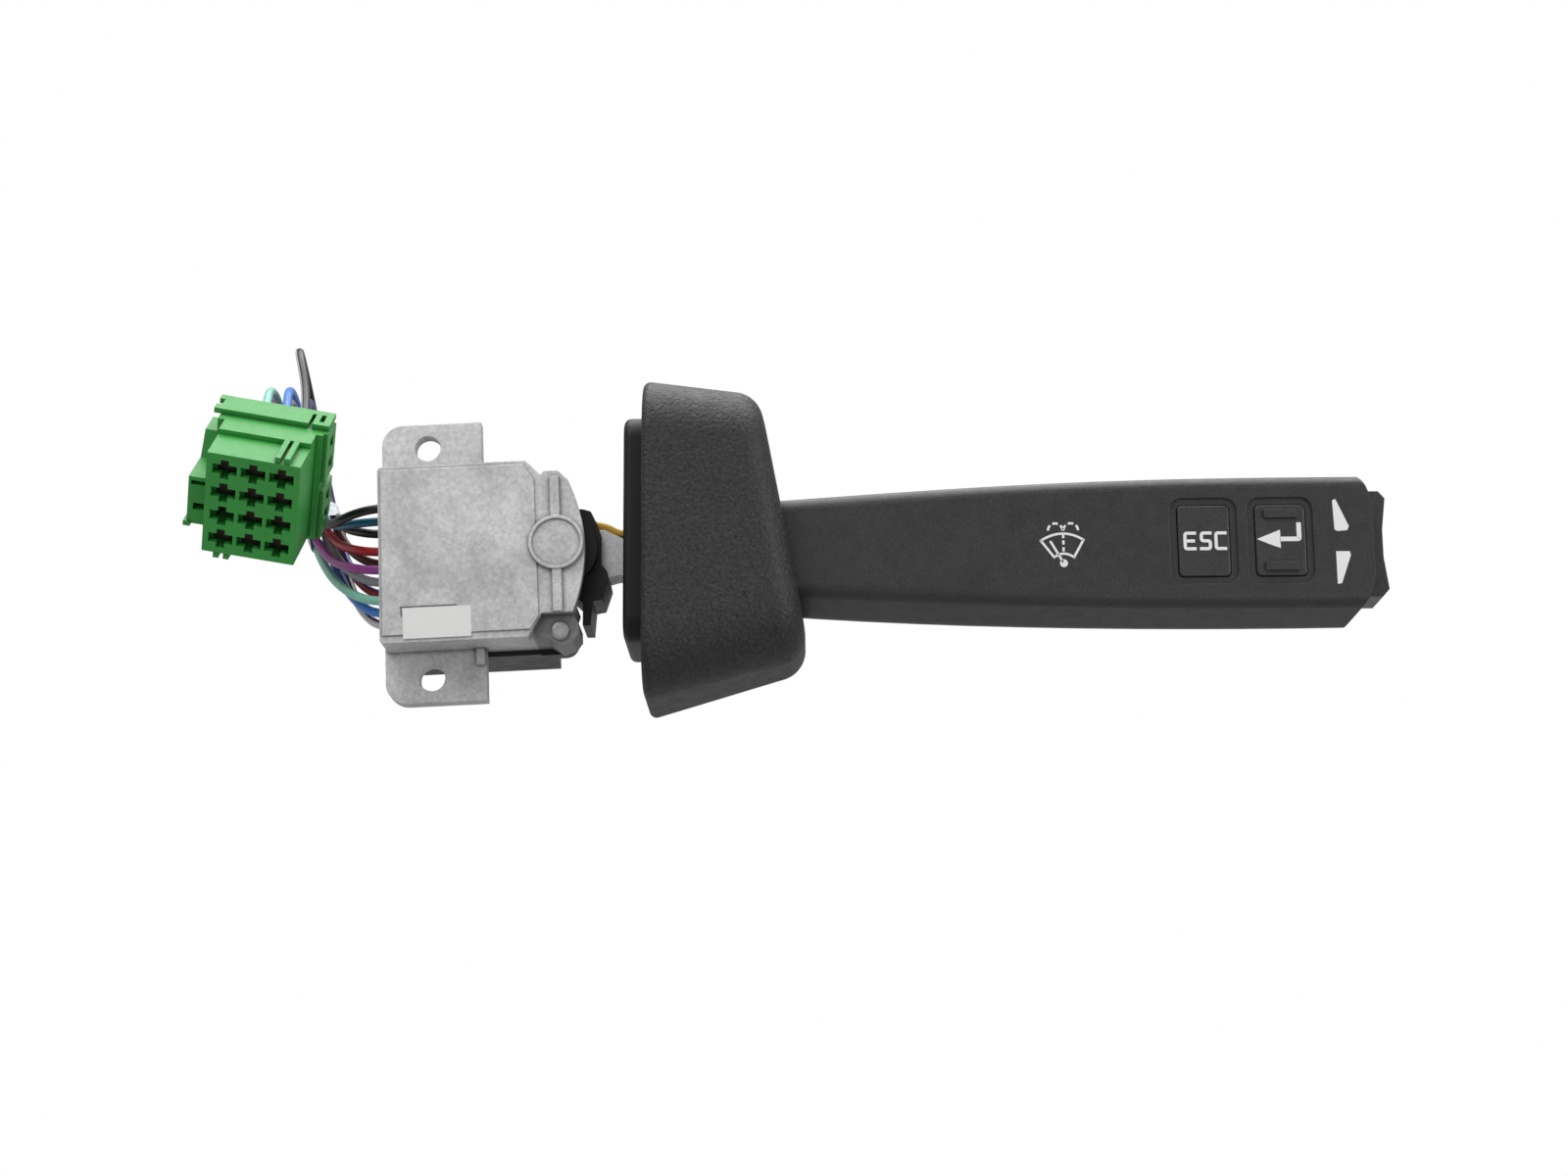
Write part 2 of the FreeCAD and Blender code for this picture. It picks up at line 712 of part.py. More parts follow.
# Rivet at the eye and the two cover screws
rivet = body("RivetBody")
rivet_head = sketch(rivet, "RivetHead", "XZ_Plane", "housing_depth - eye_recess")
circle(rivet_head, "eye_x", "eye_z", "rivet_head / 2")
pad(rivet, rivet_head, "rivet_head_height")
rivet_shank = sketch(rivet, "RivetShank", "XZ_Plane", "-eye_lug_thickness")
circle(rivet_shank, "eye_x", "eye_z", "rivet_bore / 2")
pad(rivet, rivet_shank, "housing_depth - eye_recess + eye_lug_thickness + 0.2")
rivet_tail = sketch(rivet, "RivetTail", "XZ_Plane", "-eye_lug_thickness")
circle(rivet_tail, "eye_x", "eye_z", "rivet_head / 2")
pad(rivet, rivet_tail, "rivet_head_height / 2", reverse=True)
domed = edges_where(
    rivet.Tip,
    lambda start, stop, middle: near(middle.y, -value("housing_depth - eye_recess + rivet_head_height")),
)
fillet(rivet, "RivetDome", domed, "rivet_head_height * 0.7")
keep(rivet, "eye_rivet")
for number, (across, up) in enumerate(SCREWS):
    screw = body(f"CoverScrewBody{number}")
    head = sketch(screw, f"CoverScrewHead{number}", "XZ_Plane", "base_screw_head_height - base_depth")
    circle(head, across, up, "base_screw_head / 2")
    pad(screw, head, "base_screw_head_height - 0.2", reverse=True)
    shank = sketch(screw, f"CoverScrewShank{number}", "XZ_Plane", "base_screw_head_height - base_depth")
    circle(shank, across, up, "base_screw_bore / 2")
    pad(screw, shank, "base_depth - base_screw_head_height + 7.5")
    keep(screw, f"cover_screw_{number + 1}")

# Detent cam: a wave track on an arc about the pivot, one notch for each wiper position
CAM_RADIUS = "plunger_reach + cam_play"
cam = body("CamBody")
cam_block = sketch(cam, "CamBlock", "XZ_Plane", "-cam_back")
rectangle(
    cam_block,
    "pivot_x - plunger_reach - cam_thickness",
    "pivot_x - plunger_reach + 2.2",
    "pivot_z - 9.5",
    "pivot_z + 4.6",
)
pad(cam, cam_block, "cam_back + housing_depth - plate_thickness")
track = sketch(cam, "CamTrack", "XZ_Plane", "-cam_back")
circle(track, "pivot_x", "pivot_z", CAM_RADIUS)
pocket(cam, track, "cam_back + housing_depth - plate_thickness", reverse=True)
for number in range(4):
    notch = sketch(cam, f"CamNotch{number}", "XZ_Plane", "-cam_back")
    angle = f"(rest_droop - {number} * wiper_step)"
    circle(
        notch,
        f"pivot_x - ({CAM_RADIUS}) * cos({angle} * 1 deg)",
        f"pivot_z + ({CAM_RADIUS}) * sin({angle} * 1 deg)",
        "plunger_radius * 0.5",
    )
    pocket(cam, notch, "cam_back + housing_depth - plate_thickness", reverse=True)
keep(cam, "detent_cam")

# Carrier: a drum on two trunnions with a slot for the lever arm, a detent arm and the stepped shield
carrier = body("CarrierBody")
drum = sketch(carrier, "Drum", "XZ_Plane", "face_play + base_floor - base_depth")
circle(drum, "0", "0", "drum_radius")
DRUM_LENGTH = "housing_depth - plate_thickness - sleeve_height + base_depth - base_floor - 2 * face_play"
pad(carrier, drum, DRUM_LENGTH)
trunnions = sketch(carrier, "Trunnions", "XZ_Plane", "-base_depth + face_play")
circle(trunnions, "0", "0", "trunnion_radius")
pad(carrier, trunnions, f"{DRUM_LENGTH} + base_floor + trunnion_length")
detent_arm = sketch(carrier, "DetentArm", "XZ_Plane", "-detent_arm_half")
rectangle(detent_arm, "-detent_arm_end", "0", "-detent_arm_half", "detent_arm_half")
pad(carrier, detent_arm, "2 * detent_arm_half")
shield = sketch(carrier, "Shield", "XZ_Plane", "-shield_back")
outline(
    shield,
    [
        ("shield_left - 0.2", "shield_bottom"),
        ("shield_left + 1.5", "shield_bottom"),
        ("shield_left + 1.9", "shield_bottom + 5.2"),
        ("shield_right + 0.2", "shield_bottom + 5.6"),
        ("shield_right + 1.6", "-window_half - 0.4"),
        ("shield_right + 1.2", "-window_half + 1.6"),
        ("shield_right", "-window_half / 2"),
        ("shield_right", "window_half / 2"),
        ("shield_right - 1.1", "window_half"),
        ("shield_right - 2.4", "shield_top - 0.5"),
        ("shield_right - 4.1", "shield_top"),
        ("shield_left - 2.4", "shield_top"),
        ("shield_left - 2.4", "-window_half - 3.4"),
        ("shield_left - 0.2", "-window_half - 5.4"),
    ],
)
pad(carrier, shield, "shield_back - shield_front")
slot = sketch(carrier, "ArmSlot", "YZ_Plane", "-drum_slot_end")
rectangle(slot, "-drum_slot_depth_half", "drum_slot_depth_half", "-drum_slot_half", "drum_slot_half")
pocket(carrier, slot, "drum_slot_end + shield_left - 0.5", reverse=True)
window = sketch(carrier, "NeckWindow", "YZ_Plane", "shield_left - 1.5")
rectangle(window, "-drum_slot_depth_half", "window_back", "-window_half", "window_half")
pocket(carrier, window, "20", reverse=True)
wire_channel = sketch(carrier, "WireChannel", "YZ_Plane", "shield_left - 1.5")
rectangle(wire_channel, "-channel_half", "channel_half", "0", "shield_top + 1")
pocket(carrier, wire_channel, "20", reverse=True)
plunger_bore = sketch(carrier, "PlungerBore", "YZ_Plane", "-detent_arm_end")
circle(plunger_bore, "0", "0", "plunger_radius + bearing_play")
pocket(carrier, plunger_bore, "plunger_bore_depth", reverse=True)
pin_bore = sketch(carrier, "CrossPinBore", "XY_Plane", "-drum_radius")
circle(pin_bore, "0", "0", "cross_pin_radius + bearing_play / 2")
pocket(carrier, pin_bore, "2 * drum_radius", reverse=True)
keep(carrier, "carrier", LEVER)

cross_pin = body("CrossPinBody")
pin_round = sketch(cross_pin, "CrossPin", "XY_Plane", "-cross_pin_length / 2")
circle(pin_round, "0", "0", "cross_pin_radius")
pad(cross_pin, pin_round, "cross_pin_length")
keep(cross_pin, "cross_pin", LEVER)

plunger = body("PlungerBody")
plunger_profile = sketch(plunger, "PlungerProfile", "XY_Plane")
outline(
    plunger_profile,
    [
        ("-plunger_reach", "0"),
        ("-plunger_reach + plunger_radius * 0.3", "-plunger_radius * 0.7"),
        ("-plunger_reach + plunger_radius", "-plunger_radius"),
        ("-detent_arm_end + plunger_inside", "-plunger_radius"),
        ("-detent_arm_end + plunger_inside", "0"),
    ],
)
turned = plunger.newObject("PartDesign::Revolution", "PlungerTurned")
turned.Profile = plunger_profile
turned.ReferenceAxis = (plunger_profile, ["H_Axis"])
turned.Angle = 360
keep(plunger, "detent_plunger", LEVER)

spring = doc.addObject("Part::Feature", "DetentSpring")
spring_length = value("plunger_bore_depth - plunger_inside - spring_wire * 1.1")
helix = Part.makeHelix(spring_length / value("spring_turns"), spring_length, value("spring_radius"))
coil_start = FreeCAD.Vector(value("spring_radius"), 0, 0)
coil_section = Part.Wire(Part.makeCircle(value("spring_wire / 2"), coil_start, FreeCAD.Vector(0, 1, 0)))
coil = Part.Wire(helix.Edges).makePipeShell([coil_section], True, True)
spring.Shape = coil
spring_start = "vector(-detent_arm_end + plunger_inside + spring_wire * 0.55; 0; 0)"
keep(spring, "detent_spring", f"{LEVER} * placement({spring_start}; rotation(vector(0; 1; 0); 90))")

slider = body("SliderBody")
SLIDER_FACE = "base_depth - base_floor - standoff_height - board_thickness - contact_height - face_play"
slider_plate = sketch(slider, "SliderPlate", "XZ_Plane", f"-({SLIDER_FACE})")
rectangle(slider_plate, "-detent_arm_end - 3", "-drum_radius - 0.6", "-detent_arm_half", "detent_arm_half")
pad(slider, slider_plate, "slider_thickness")
slider_foot = sketch(slider, "SliderFoot", "XZ_Plane", f"-({SLIDER_FACE}) + slider_thickness")
rectangle(slider_foot, "-detent_arm_end + 0.4", "-drum_radius - 0.6", "-detent_arm_half + 1", "detent_arm_half - 1")
pad(slider, slider_foot, f"{SLIDER_FACE} - slider_thickness - detent_arm_half")
keep(slider, "contact_slider", LEVER)

# Lever arm: tail, cross eye, flared neck and a long tongue inside the handle
arm = body("ArmBody")
arm_side = sketch(arm, "ArmSide", "XZ_Plane", "-arm_half_width")
outline(
    arm_side,
    [
        ("0", "-arm_shoulder"),
        ("arm_flare - 3.4", "-arm_shoulder"),
        ("arm_flare - 2.4", "-arm_flare_half"),
        ("arm_flare", "-arm_flare_half - 0.4"),
        ("arm_neck - 1.8", "arm_bottom"),
        ("arm_end", "arm_bottom + 1.4"),
        ("arm_end", "arm_top - 0.6"),
        ("arm_neck", "arm_top"),
        ("arm_flare", "arm_flare_half"),
        ("arm_flare - 2.4", "arm_flare_half"),
        ("arm_flare - 3.4", "arm_shoulder"),
        ("0", "arm_shoulder"),
    ],
)
pad(arm, arm_side, "2 * arm_half_width")
arm_eye = sketch(arm, "ArmEye", "XY_Plane", "-arm_eye_half")
circle(arm_eye, "0", "0", "arm_eye_radius")
pad(arm, arm_eye, "2 * arm_eye_half")
arm_tail = sketch(arm, "ArmTail", "YZ_Plane", "-arm_tail")
circle(arm_tail, "0", "0", "arm_tail_radius")
pad(arm, arm_tail, "arm_tail")
arm_bore = sketch(arm, "ArmEyeBore", "XY_Plane", "-arm_eye_half")
circle(arm_bore, "0", "0", "cross_pin_radius + bearing_play")
pocket(arm, arm_bore, "2 * arm_eye_half", reverse=True)
arm_holes = sketch(arm, "ArmScrewHoles", "XZ_Plane", "-arm_half_width")
for number in range(2):
    circle(arm_holes, f"arm_screw_first + {number} * arm_screw_pitch", "(arm_top + arm_bottom) / 2", "arm_screw_bore / 2")
pocket(arm, arm_holes, "2 * arm_half_width", reverse=True)
keep(arm, "lever_arm", LEVER)

# Handle: one lofted form, hollowed and parted into a front and a back shell
# Each station holds: place along the lever, front half height, widest half height, front and back depth
HANDLE_STATIONS = [
    ("handle_start", 9.6, 12.1, 8.2, 9.0),
    ("79.5", 11.9, 15.2, 9.4, 10.2),
    ("115", 13.4, 16.4, 9.9, 10.8),
    ("148", 13.9, 16.8, 10.0, 11.0),
    ("handle_end + 4", 13.9, 16.6, 10.0, 11.0),
]


def handle_form(name, inset, start="0", end="0"):
    """The handle's lofted solid, made smaller all round by the inset."""
    inset = f"({inset})"
    form = body(name)
    drawings = []
    for number, (place, front, wide, ahead, behind) in enumerate(HANDLE_STATIONS):
        shift = start if number == 0 else (end if number == len(HANDLE_STATIONS) - 1 else "0")
        drawn = sketch(form, f"{name}Section{number}", "YZ_Plane", f"{place} + {shift}")
        front_half = f"({front} - {inset} * 0.9)"
        wide_half = f"({wide} - {inset})"
        back_half = f"({wide} * 0.74 - {inset})"
        front_round = f"handle_front_round - {inset} * 0.5"
        side_round = f"handle_side_round - {inset} * 1.1"
        back_round = f"handle_back_round - {inset} * 0.8"
        rounded_outline(
            drawn,
            [
                (f"-{ahead} + {inset}", front_half, front_round),
                (f"-{ahead} + {inset}", f"-{front_half}", front_round),
                ("handle_parting", f"-{wide_half}", side_round),
                (f"{behind} - {inset}", f"-{back_half}", back_round),
                (f"{behind} - {inset}", back_half, back_round),
                ("handle_parting", wide_half, side_round),
            ],
        )
        drawings.append(drawn)
    loft(form, "AdditiveLoft", drawings)
    return form


outer_form = handle_form("HandleOuter", "0")
inner_form = handle_form("HandleInner", "handle_wall", start="-2", end="-4 - handle_tip_solid")
tip_profile = body("TipProfileBody")
tip_sketch = sketch(tip_profile, "TipProfile", "XZ_Plane", "-20")
outline(
    tip_sketch,
    [
        ("handle_start", "-22"),
        ("handle_end - handle_tip_radius", "-handle_tip_flat - handle_tip_radius", "handle_tip_radius"),
        ("handle_end", "-handle_tip_flat"),
        ("handle_end", "handle_tip_flat", "handle_tip_radius"),
        ("handle_end - handle_tip_radius", "handle_tip_flat + handle_tip_radius"),
        ("handle_start", "22"),
    ],
)
pad(tip_profile, tip_sketch, "40")
rounded_form = boolean("Common", "HandleRounded", outer_form, tip_profile)
hollow_form = boolean("Cut", "HandleHollow", rounded_form, inner_form)


def rounded_block(name, left, right, half_height, front, back, corner):
    """A block with rounded upright corners, from front to back along Y."""
    form = body(name)
    drawn = sketch(form, name + "Outline", "XZ_Plane", f"-({back})")
    rectangle(drawn, left, right, f"-({half_height})", half_height)
    pad(form, drawn, f"({back}) - ({front})")
    corners = [(side, height) for side in (left, right) for height in (f"-({half_height})", half_height)]
    fillet(form, name + "Corners", upright_edges(form.Tip, "y", corners), corner)
    return form


BUTTONS = {"esc": ("esc_left", "esc_right"), "enter": ("enter_left", "enter_right")}
cutters = []
for name, (left, right) in BUTTONS.items():
    cutters.append(
        rounded_block(
            name.capitalize() + "Window", left, right, "button_half_height", "-handle_face - 5", "-handle_face + 5", "button_corner"
        )
    )
    cutters.append(
        rounded_block(
            name.capitalize() + "Dish",
            f"{left} - dish_margin",
            f"{right} + dish_margin",
            "button_half_height + dish_margin",
            "-handle_face - 5",
            "-handle_face + dish_depth",
            "button_corner + dish_margin",
        )
    )
cutters.append(
    box(
        "RockerWindow",
        "handle_end - 8",
        "handle_end + 5",
        "-rocker_half_depth - rocker_play",
        "rocker_half_depth + rocker_play",
        "-rocker_half_height - rocker_play",
        "rocker_half_height + rocker_play",
    )
)
pin_cut = doc.addObject("Part::Cylinder", "RockerPinCut")
pin_cut.setExpression("Radius", linked("rocker_pin_radius + bearing_play"))
pin_cut.setExpression("Height", linked("rocker_pin_back - rocker_pin_front + 0.2"))
pin_cut.setExpression(
    "Placement",
    linked("placement(vector(rocker_axis; rocker_pin_back + 0.1; 0); rotation(vector(1; 0; 0); 90))"),
)
cutters.append(pin_cut)
openings = fused("HandleOpenings", cutters)
open_form = boolean("Cut", "HandleOpen", hollow_form, openings)
front_half = box("FrontHalf", "handle_start - 10", "handle_end + 10", "-20", "handle_parting", "-25", "25")
front_shell = boolean("Common", "HandleFrontShell", open_form, front_half)
back_open = boolean("Cut", "HandleBackShell", open_form, front_half)
screw_cuts = []
SCREW_UP = "(arm_top + arm_bottom) / 2"
for number in range(2):
    place = f"arm_screw_first + {number} * arm_screw_pitch"
    for kind, radius, start, stop in (
        ("Shank", "arm_screw_bore / 2 + rivet_play", "arm_half_width", "handle_seat + 6"),
        ("Head", "handle_screw_head / 2 + rivet_play", "handle_seat", "handle_seat + 6"),
    ):
        drill = doc.addObject("Part::Cylinder", f"HandleScrew{kind}{number}")
        drill.setExpression("Radius", linked(radius))
        drill.setExpression("Height", linked(f"{stop} - ({start})"))
        drill.setExpression(
            "Placement",
            linked(
                f"placement(vector({place}; {stop}; {SCREW_UP}); rotation(vector(1; 0; 0); 90))"
            ),
        )
        screw_cuts.append(drill)
posts = []
board_back = "key_board_front + key_board_thickness"
post_places = [
    (f"arm_screw_first + {number} * arm_screw_pitch", SCREW_UP, "arm_half_width", "handle_post_end", "handle_post_radius")
    for number in range(2)
]
post_places += [
    (place, "0", board_back, "handle_face", "board_post_radius") for place in ("key_board_left + 5", "key_board_right - 5")
]
for number, (place, up, front, end, radius) in enumerate(post_places):
    post = doc.addObject("Part::Cylinder", f"HandlePost{number}")
    post.setExpression("Radius", linked(radius))
    post.setExpression("Height", linked(f"{end} - ({front})"))
    post.setExpression(
        "Placement", linked(f"placement(vector({place}; {end}; {up}); rotation(vector(1; 0; 0); 90))")
    )
    posts.append(post)
back_posted = fused("HandleBackPosted", [back_open] + posts)
back_shell = boolean("Cut", "HandleBackDrilled", back_posted, fused("HandleScrewCuts", screw_cuts))
keep(front_shell, "handle_front", LEVER)
keep(back_shell, "handle_back", LEVER)
for number in range(2):
    place = f"arm_screw_first + {number} * arm_screw_pitch"
    screw = body(f"HandleScrewBody{number}")
    head = sketch(screw, f"HandleScrewHeadOutline{number}", "XZ_Plane", "-handle_seat")
    circle(head, place, SCREW_UP, "handle_screw_head / 2")
    pad(screw, head, "handle_screw_head_height", reverse=True)
    shank = sketch(screw, f"HandleScrewShankOutline{number}", "XZ_Plane", "-handle_seat")
    circle(shank, place, SCREW_UP, "arm_screw_bore / 2")
    pad(screw, shank, "handle_seat + arm_half_width - 1")
    keep(screw, f"handle_screw_{number + 1}", LEVER)

# Cowl: a tapered hood open to the left, its right end cut on a slant, with a web that sits on the arm


def cowl_form(name, inset, corner):
    """The cowl's tapered block, made smaller all round by the inset."""
    inset = f"({inset})"
    form = body(name)
    drawings = []
    for number, (place, rise, shrink_height, shrink_depth) in enumerate(
        (
            ("cowl_rim", "0", "0", "0"),
            ("cowl_rim + cowl_loft_length", "cowl_rise", "cowl_height_taper", "cowl_depth_taper"),
        )
    ):
        drawn = sketch(form, f"{name}Section{number}", "YZ_Plane", place)
        half_height = f"(cowl_half_height - {inset} - {shrink_height})"
        half_depth = f"(cowl_half_depth - {inset} - {shrink_depth})"
        rounded_outline(
            drawn,
            [
                (f"{depth} * {half_depth}", f"cowl_centre + {rise} + {height} * {half_height}", corner)
                for depth, height in ((-1, -1), (1, -1), (1, 1), (-1, 1))
            ],
        )
        drawings.append(drawn)
    loft(form, "AdditiveLoft", drawings)
    slant = sketch(form, name + "Slant", "XZ_Plane", "-30")
    outline(
        slant,
        [
            (f"cowl_end_bottom - {inset} + 1", "cowl_centre - cowl_half_height - 5"),
            ("cowl_rim + cowl_loft_length + 10", "cowl_centre - cowl_half_height - 5"),
            ("cowl_rim + cowl_loft_length + 10", "cowl_centre + cowl_half_height + 5"),
            (f"cowl_end_top - {inset} - 1", "cowl_centre + cowl_half_height + 5"),
        ],
    )
    pocket(form, slant, "60", reverse=True)
    return form


cowl_outer = cowl_form("CowlOuter", "0", "cowl_corner")


def round_end(form, name, radius):
    """Rounds the edges round the cowl form's slanted end."""
    ring = edges_where(form.Tip, lambda start, stop, middle: min(start.x, stop.x, middle.x) > value("cowl_end_top - 6"))
    fillet(form, name, ring, radius)


round_end(cowl_outer, "CowlEndEdges", "cowl_end_fillet")
rim_edges = edges_where(
    cowl_outer.Tip,
    lambda start, stop, middle: near(start.x, value("cowl_rim")) and near(stop.x, value("cowl_rim")),
)
fillet(cowl_outer, "CowlRimEdges", rim_edges, "cowl_rim_fillet")
cowl_inner = cowl_form("CowlInner", "cowl_wall", "cowl_corner - cowl_wall")
round_end(cowl_inner, "CowlInnerEndEdges", "cowl_end_fillet - cowl_wall")
cowl_shell = boolean("Cut", "CowlShell", cowl_outer, cowl_inner)
web_slab = box(
    "CowlWebSlab",
    "cowl_web",
    "cowl_web + cowl_web_thickness",
    "-cowl_half_depth + 0.6",
    "cowl_half_depth - 0.6",
    "cowl_centre - cowl_half_height + 0.6",
    "cowl_centre + cowl_half_height - 0.6",
)
cowl_inner_copy = cowl_form("CowlInnerFull", "cowl_wall - 0.6", "cowl_corner - cowl_wall")
web = boolean("Common", "CowlWeb", web_slab, cowl_inner_copy)
arm_hole = box(
    "CowlArmHole",
    "cowl_web - 5",
    "cowl_web + 10",
    "-arm_half_width - collar_play",
    "arm_half_width + collar_play",
    "arm_bottom - collar_play",
    "arm_top + arm_wire_diameter + 2.4",
)
web_holed = boolean("Cut", "CowlWebHoled", web, arm_hole)
cowl_whole = fused("CowlWhole", [cowl_shell, web_holed])
handle_hole = handle_form("HandleHole", "-collar_play", start="-1")
cowl = boolean("Cut", "CowlOpened", cowl_whole, handle_hole)
keep(cowl, "cowl", LEVER)

tray = body("TrayBody")
tray_block = sketch(tray, "TrayBlock", "YZ_Plane", "tray_left")
rectangle(
    tray_block,
    "-tray_half_depth",
    "tray_half_depth",
    "tray_centre - tray_half_height",
    "tray_centre + tray_half_height",
)
pad(tray, tray_block, "cowl_web - tray_left")
tray_corners = upright_edges(
    tray.Tip,
    "x",
    [
        (f"{depth} * tray_half_depth", f"tray_centre + {height} * tray_half_height")
        for depth in (-1, 1)
        for height in (-1, 1)
    ],
)
fillet(tray, "TrayCorners", tray_corners, "tray_corner")
tray_face = edges_where(
    tray.Tip, lambda start, stop, middle: near(start.x, value("tray_left")) and near(stop.x, value("tray_left"))
)
fillet(tray, "TrayFace", tray_face, "tray_edge")
tray_hollow = sketch(tray, "TrayHollow", "YZ_Plane", "tray_left + tray_wall")
rectangle(
    tray_hollow,
    "-tray_half_depth + tray_wall",
    "tray_half_depth - tray_wall",
    "tray_centre - tray_half_height + tray_wall",
    "tray_centre + tray_half_height - tray_wall",
)
pocket(tray, tray_hollow, "40", reverse=True)
tray_slot = sketch(tray, "TrayArmSlot", "YZ_Plane", "tray_left")
rectangle(
    tray_slot,
    "-arm_half_width - collar_play",
    "arm_half_width + collar_play",
    "arm_bottom - collar_play",
    "arm_top + arm_wire_diameter + 2.4",
)
pocket(tray, tray_slot, "tray_wall", reverse=True)
keep(tray, "cowl_back_plate", LEVER)

# Key board with its two rubber domes
key_board = box(
    "KeyBoardBlank",
    "key_board_left",
    "key_board_right",
    "key_board_front",
    "key_board_front + key_board_thickness",
    "-key_board_half",
    "key_board_half",
    carried=LEVER,
)
keep(key_board, "key_board")
for name, (left, right) in BUTTONS.items():
    dome = body(name.capitalize() + "DomeBody")
    dome_base = sketch(dome, name.capitalize() + "DomeBase", "XZ_Plane", "-key_board_front")
    circle(dome_base, f"({left} + {right}) / 2", "0", "dome_radius")
    dome_pad = pad(dome, dome_base, "dome_height")
    dome_pad.TaperAngle = -35
    keep(dome, f"{name}_dome", LEVER)

# Buttons: a rounded cap, a skirt behind the shell and a stem over its dome
for name, (left, right) in BUTTONS.items():
    title = name.capitalize()
    button = body(title + "ButtonBody")
    cap = sketch(button, title + "Cap", "XZ_Plane", "handle_face - handle_wall - button_skirt_thickness - button_travel")
    cap_edges = (
        f"{left} + button_play",
        f"{right} - button_play",
        "-button_half_height + button_play",
        "button_half_height - button_play",
    )
    rectangle(cap, *cap_edges)
    pad(button, cap, "handle_wall + button_skirt_thickness + button_travel - dish_depth + button_proud")
    corners = [(across, up) for across in cap_edges[:2] for up in cap_edges[2:]]
    fillet(button, title + "CapCorners", upright_edges(button.Tip, "y", corners), "button_corner - button_play")
    face = -value("handle_face - dish_depth + button_proud")
    rim = edges_where(button.Tip, lambda start, stop, middle: near(start.y, face) and near(stop.y, face))
    fillet(button, title + "CapRim", rim, "0.4")
    skirt = sketch(button, title + "Skirt", "XZ_Plane", "handle_face - handle_wall - button_skirt_thickness - face_play")
    rectangle(
        skirt,
        f"{left} - button_skirt",
        f"{right} + button_skirt",
        "-button_half_height - button_skirt",
        "button_half_height + button_skirt",
    )
    pad(button, skirt, "button_skirt_thickness - 0.1")
    stem = sketch(button, title + "Stem", "XZ_Plane", "-key_board_front + dome_height + button_travel + 0.3")
    circle(stem, f"({left} + {right}) / 2", "0", "button_stem")
    pad(button, stem, "2.5")
    if name == "enter":
        grips = sketch(button, "EnterGrips", "XZ_Plane", "handle_face - dish_depth + button_proud - 0.1")
        for side in (-1, 1):
            middle = f"{side} * (button_half_height - grip_inset - grip_height / 2)"
            rectangle(
                grips,
                f"({left} + {right}) / 2 - grip_length / 2",
                f"({left} + {right}) / 2 + grip_length / 2",
                f"{middle} - grip_height / 2",
                f"{middle} + grip_height / 2",
            )
        pad(button, grips, "grip_rise + 0.1")
    keep(button, f"{name}_button", LEVER)

# Tip rocker on its pin, with a hollowed outer face
rocker = body("RockerBody")
rocker_side = sketch(rocker, "RockerSide", "XZ_Plane", "-rocker_half_depth")
outline(
    rocker_side,
    [
        ("rocker_axis", "-rocker_ear_half"),
        ("handle_end - 3.4", "-rocker_half_height + 1.2"),
        ("handle_end - 1", "-rocker_half_height"),
        ("handle_end + rocker_proud - 1.4", "-rocker_half_height"),
        ("handle_end + rocker_proud", "-rocker_half_height + 1.6"),
        ("handle_end + rocker_waist", "-3"),
        ("handle_end + rocker_waist", "3"),
        ("handle_end + rocker_proud", "rocker_half_height - 1.6"),
        ("handle_end + rocker_proud - 1.4", "rocker_half_height"),
        ("handle_end - 1", "rocker_half_height"),
        ("handle_end - 3.4", "rocker_half_height - 1.2"),
        ("rocker_axis", "rocker_ear_half"),
    ],
)
pad(rocker, rocker_side, "2 * rocker_half_depth")
rocker_ear = sketch(rocker, "RockerEar", "XZ_Plane", "-rocker_half_depth")
circle(rocker_ear, "rocker_axis", "0", "rocker_ear_half")
pad(rocker, rocker_ear, "2 * rocker_half_depth")
rocker_bore = sketch(rocker, "RockerBore", "XZ_Plane", "-rocker_half_depth")
circle(rocker_bore, "rocker_axis", "0", "rocker_pin_radius + bearing_play")
pocket(rocker, rocker_bore, "2 * rocker_half_depth", reverse=True)
keep(rocker, "tip_rocker", LEVER)

rocker_pin = body("RockerPinBody")
rocker_pin_round = sketch(rocker_pin, "RockerPin", "XZ_Plane", "-rocker_pin_back")
circle(rocker_pin_round, "rocker_axis", "0", "rocker_pin_radius")
pad(rocker_pin, rocker_pin_round, "rocker_pin_back - rocker_pin_front")
keep(rocker_pin, "rocker_pin", LEVER)

# Connector, in its own frame: X across, Y from the mouth to the wires, Z up
block = body("ConnectorBlockBody")
block_front = sketch(block, "ConnectorFront", "XZ_Plane", "-connector_depth")
rectangle(block_front, "-block_width / 2", "block_width / 2", "-block_height / 2", "block_height / 2")
pad(block, block_front, "connector_depth")
first_across = "-cavity_column_pitch"
first_up = "-1.5 * cavity_row_pitch"
cavity = sketch(block, "Cavity", "XZ_Plane", "-connector_depth")
cavity_half = "cavity_size / 2"
rectangle(
    cavity,
    f"{first_across} - {cavity_half}",
    f"{first_across} + {cavity_half}",
    f"{first_up} - {cavity_half}",
    f"{first_up} + {cavity_half}",
)
cavity_cut = pocket(block, cavity, "connector_depth - cavity_front", reverse=True)
cross = sketch(block, "CrossSlot", "XZ_Plane", "0")
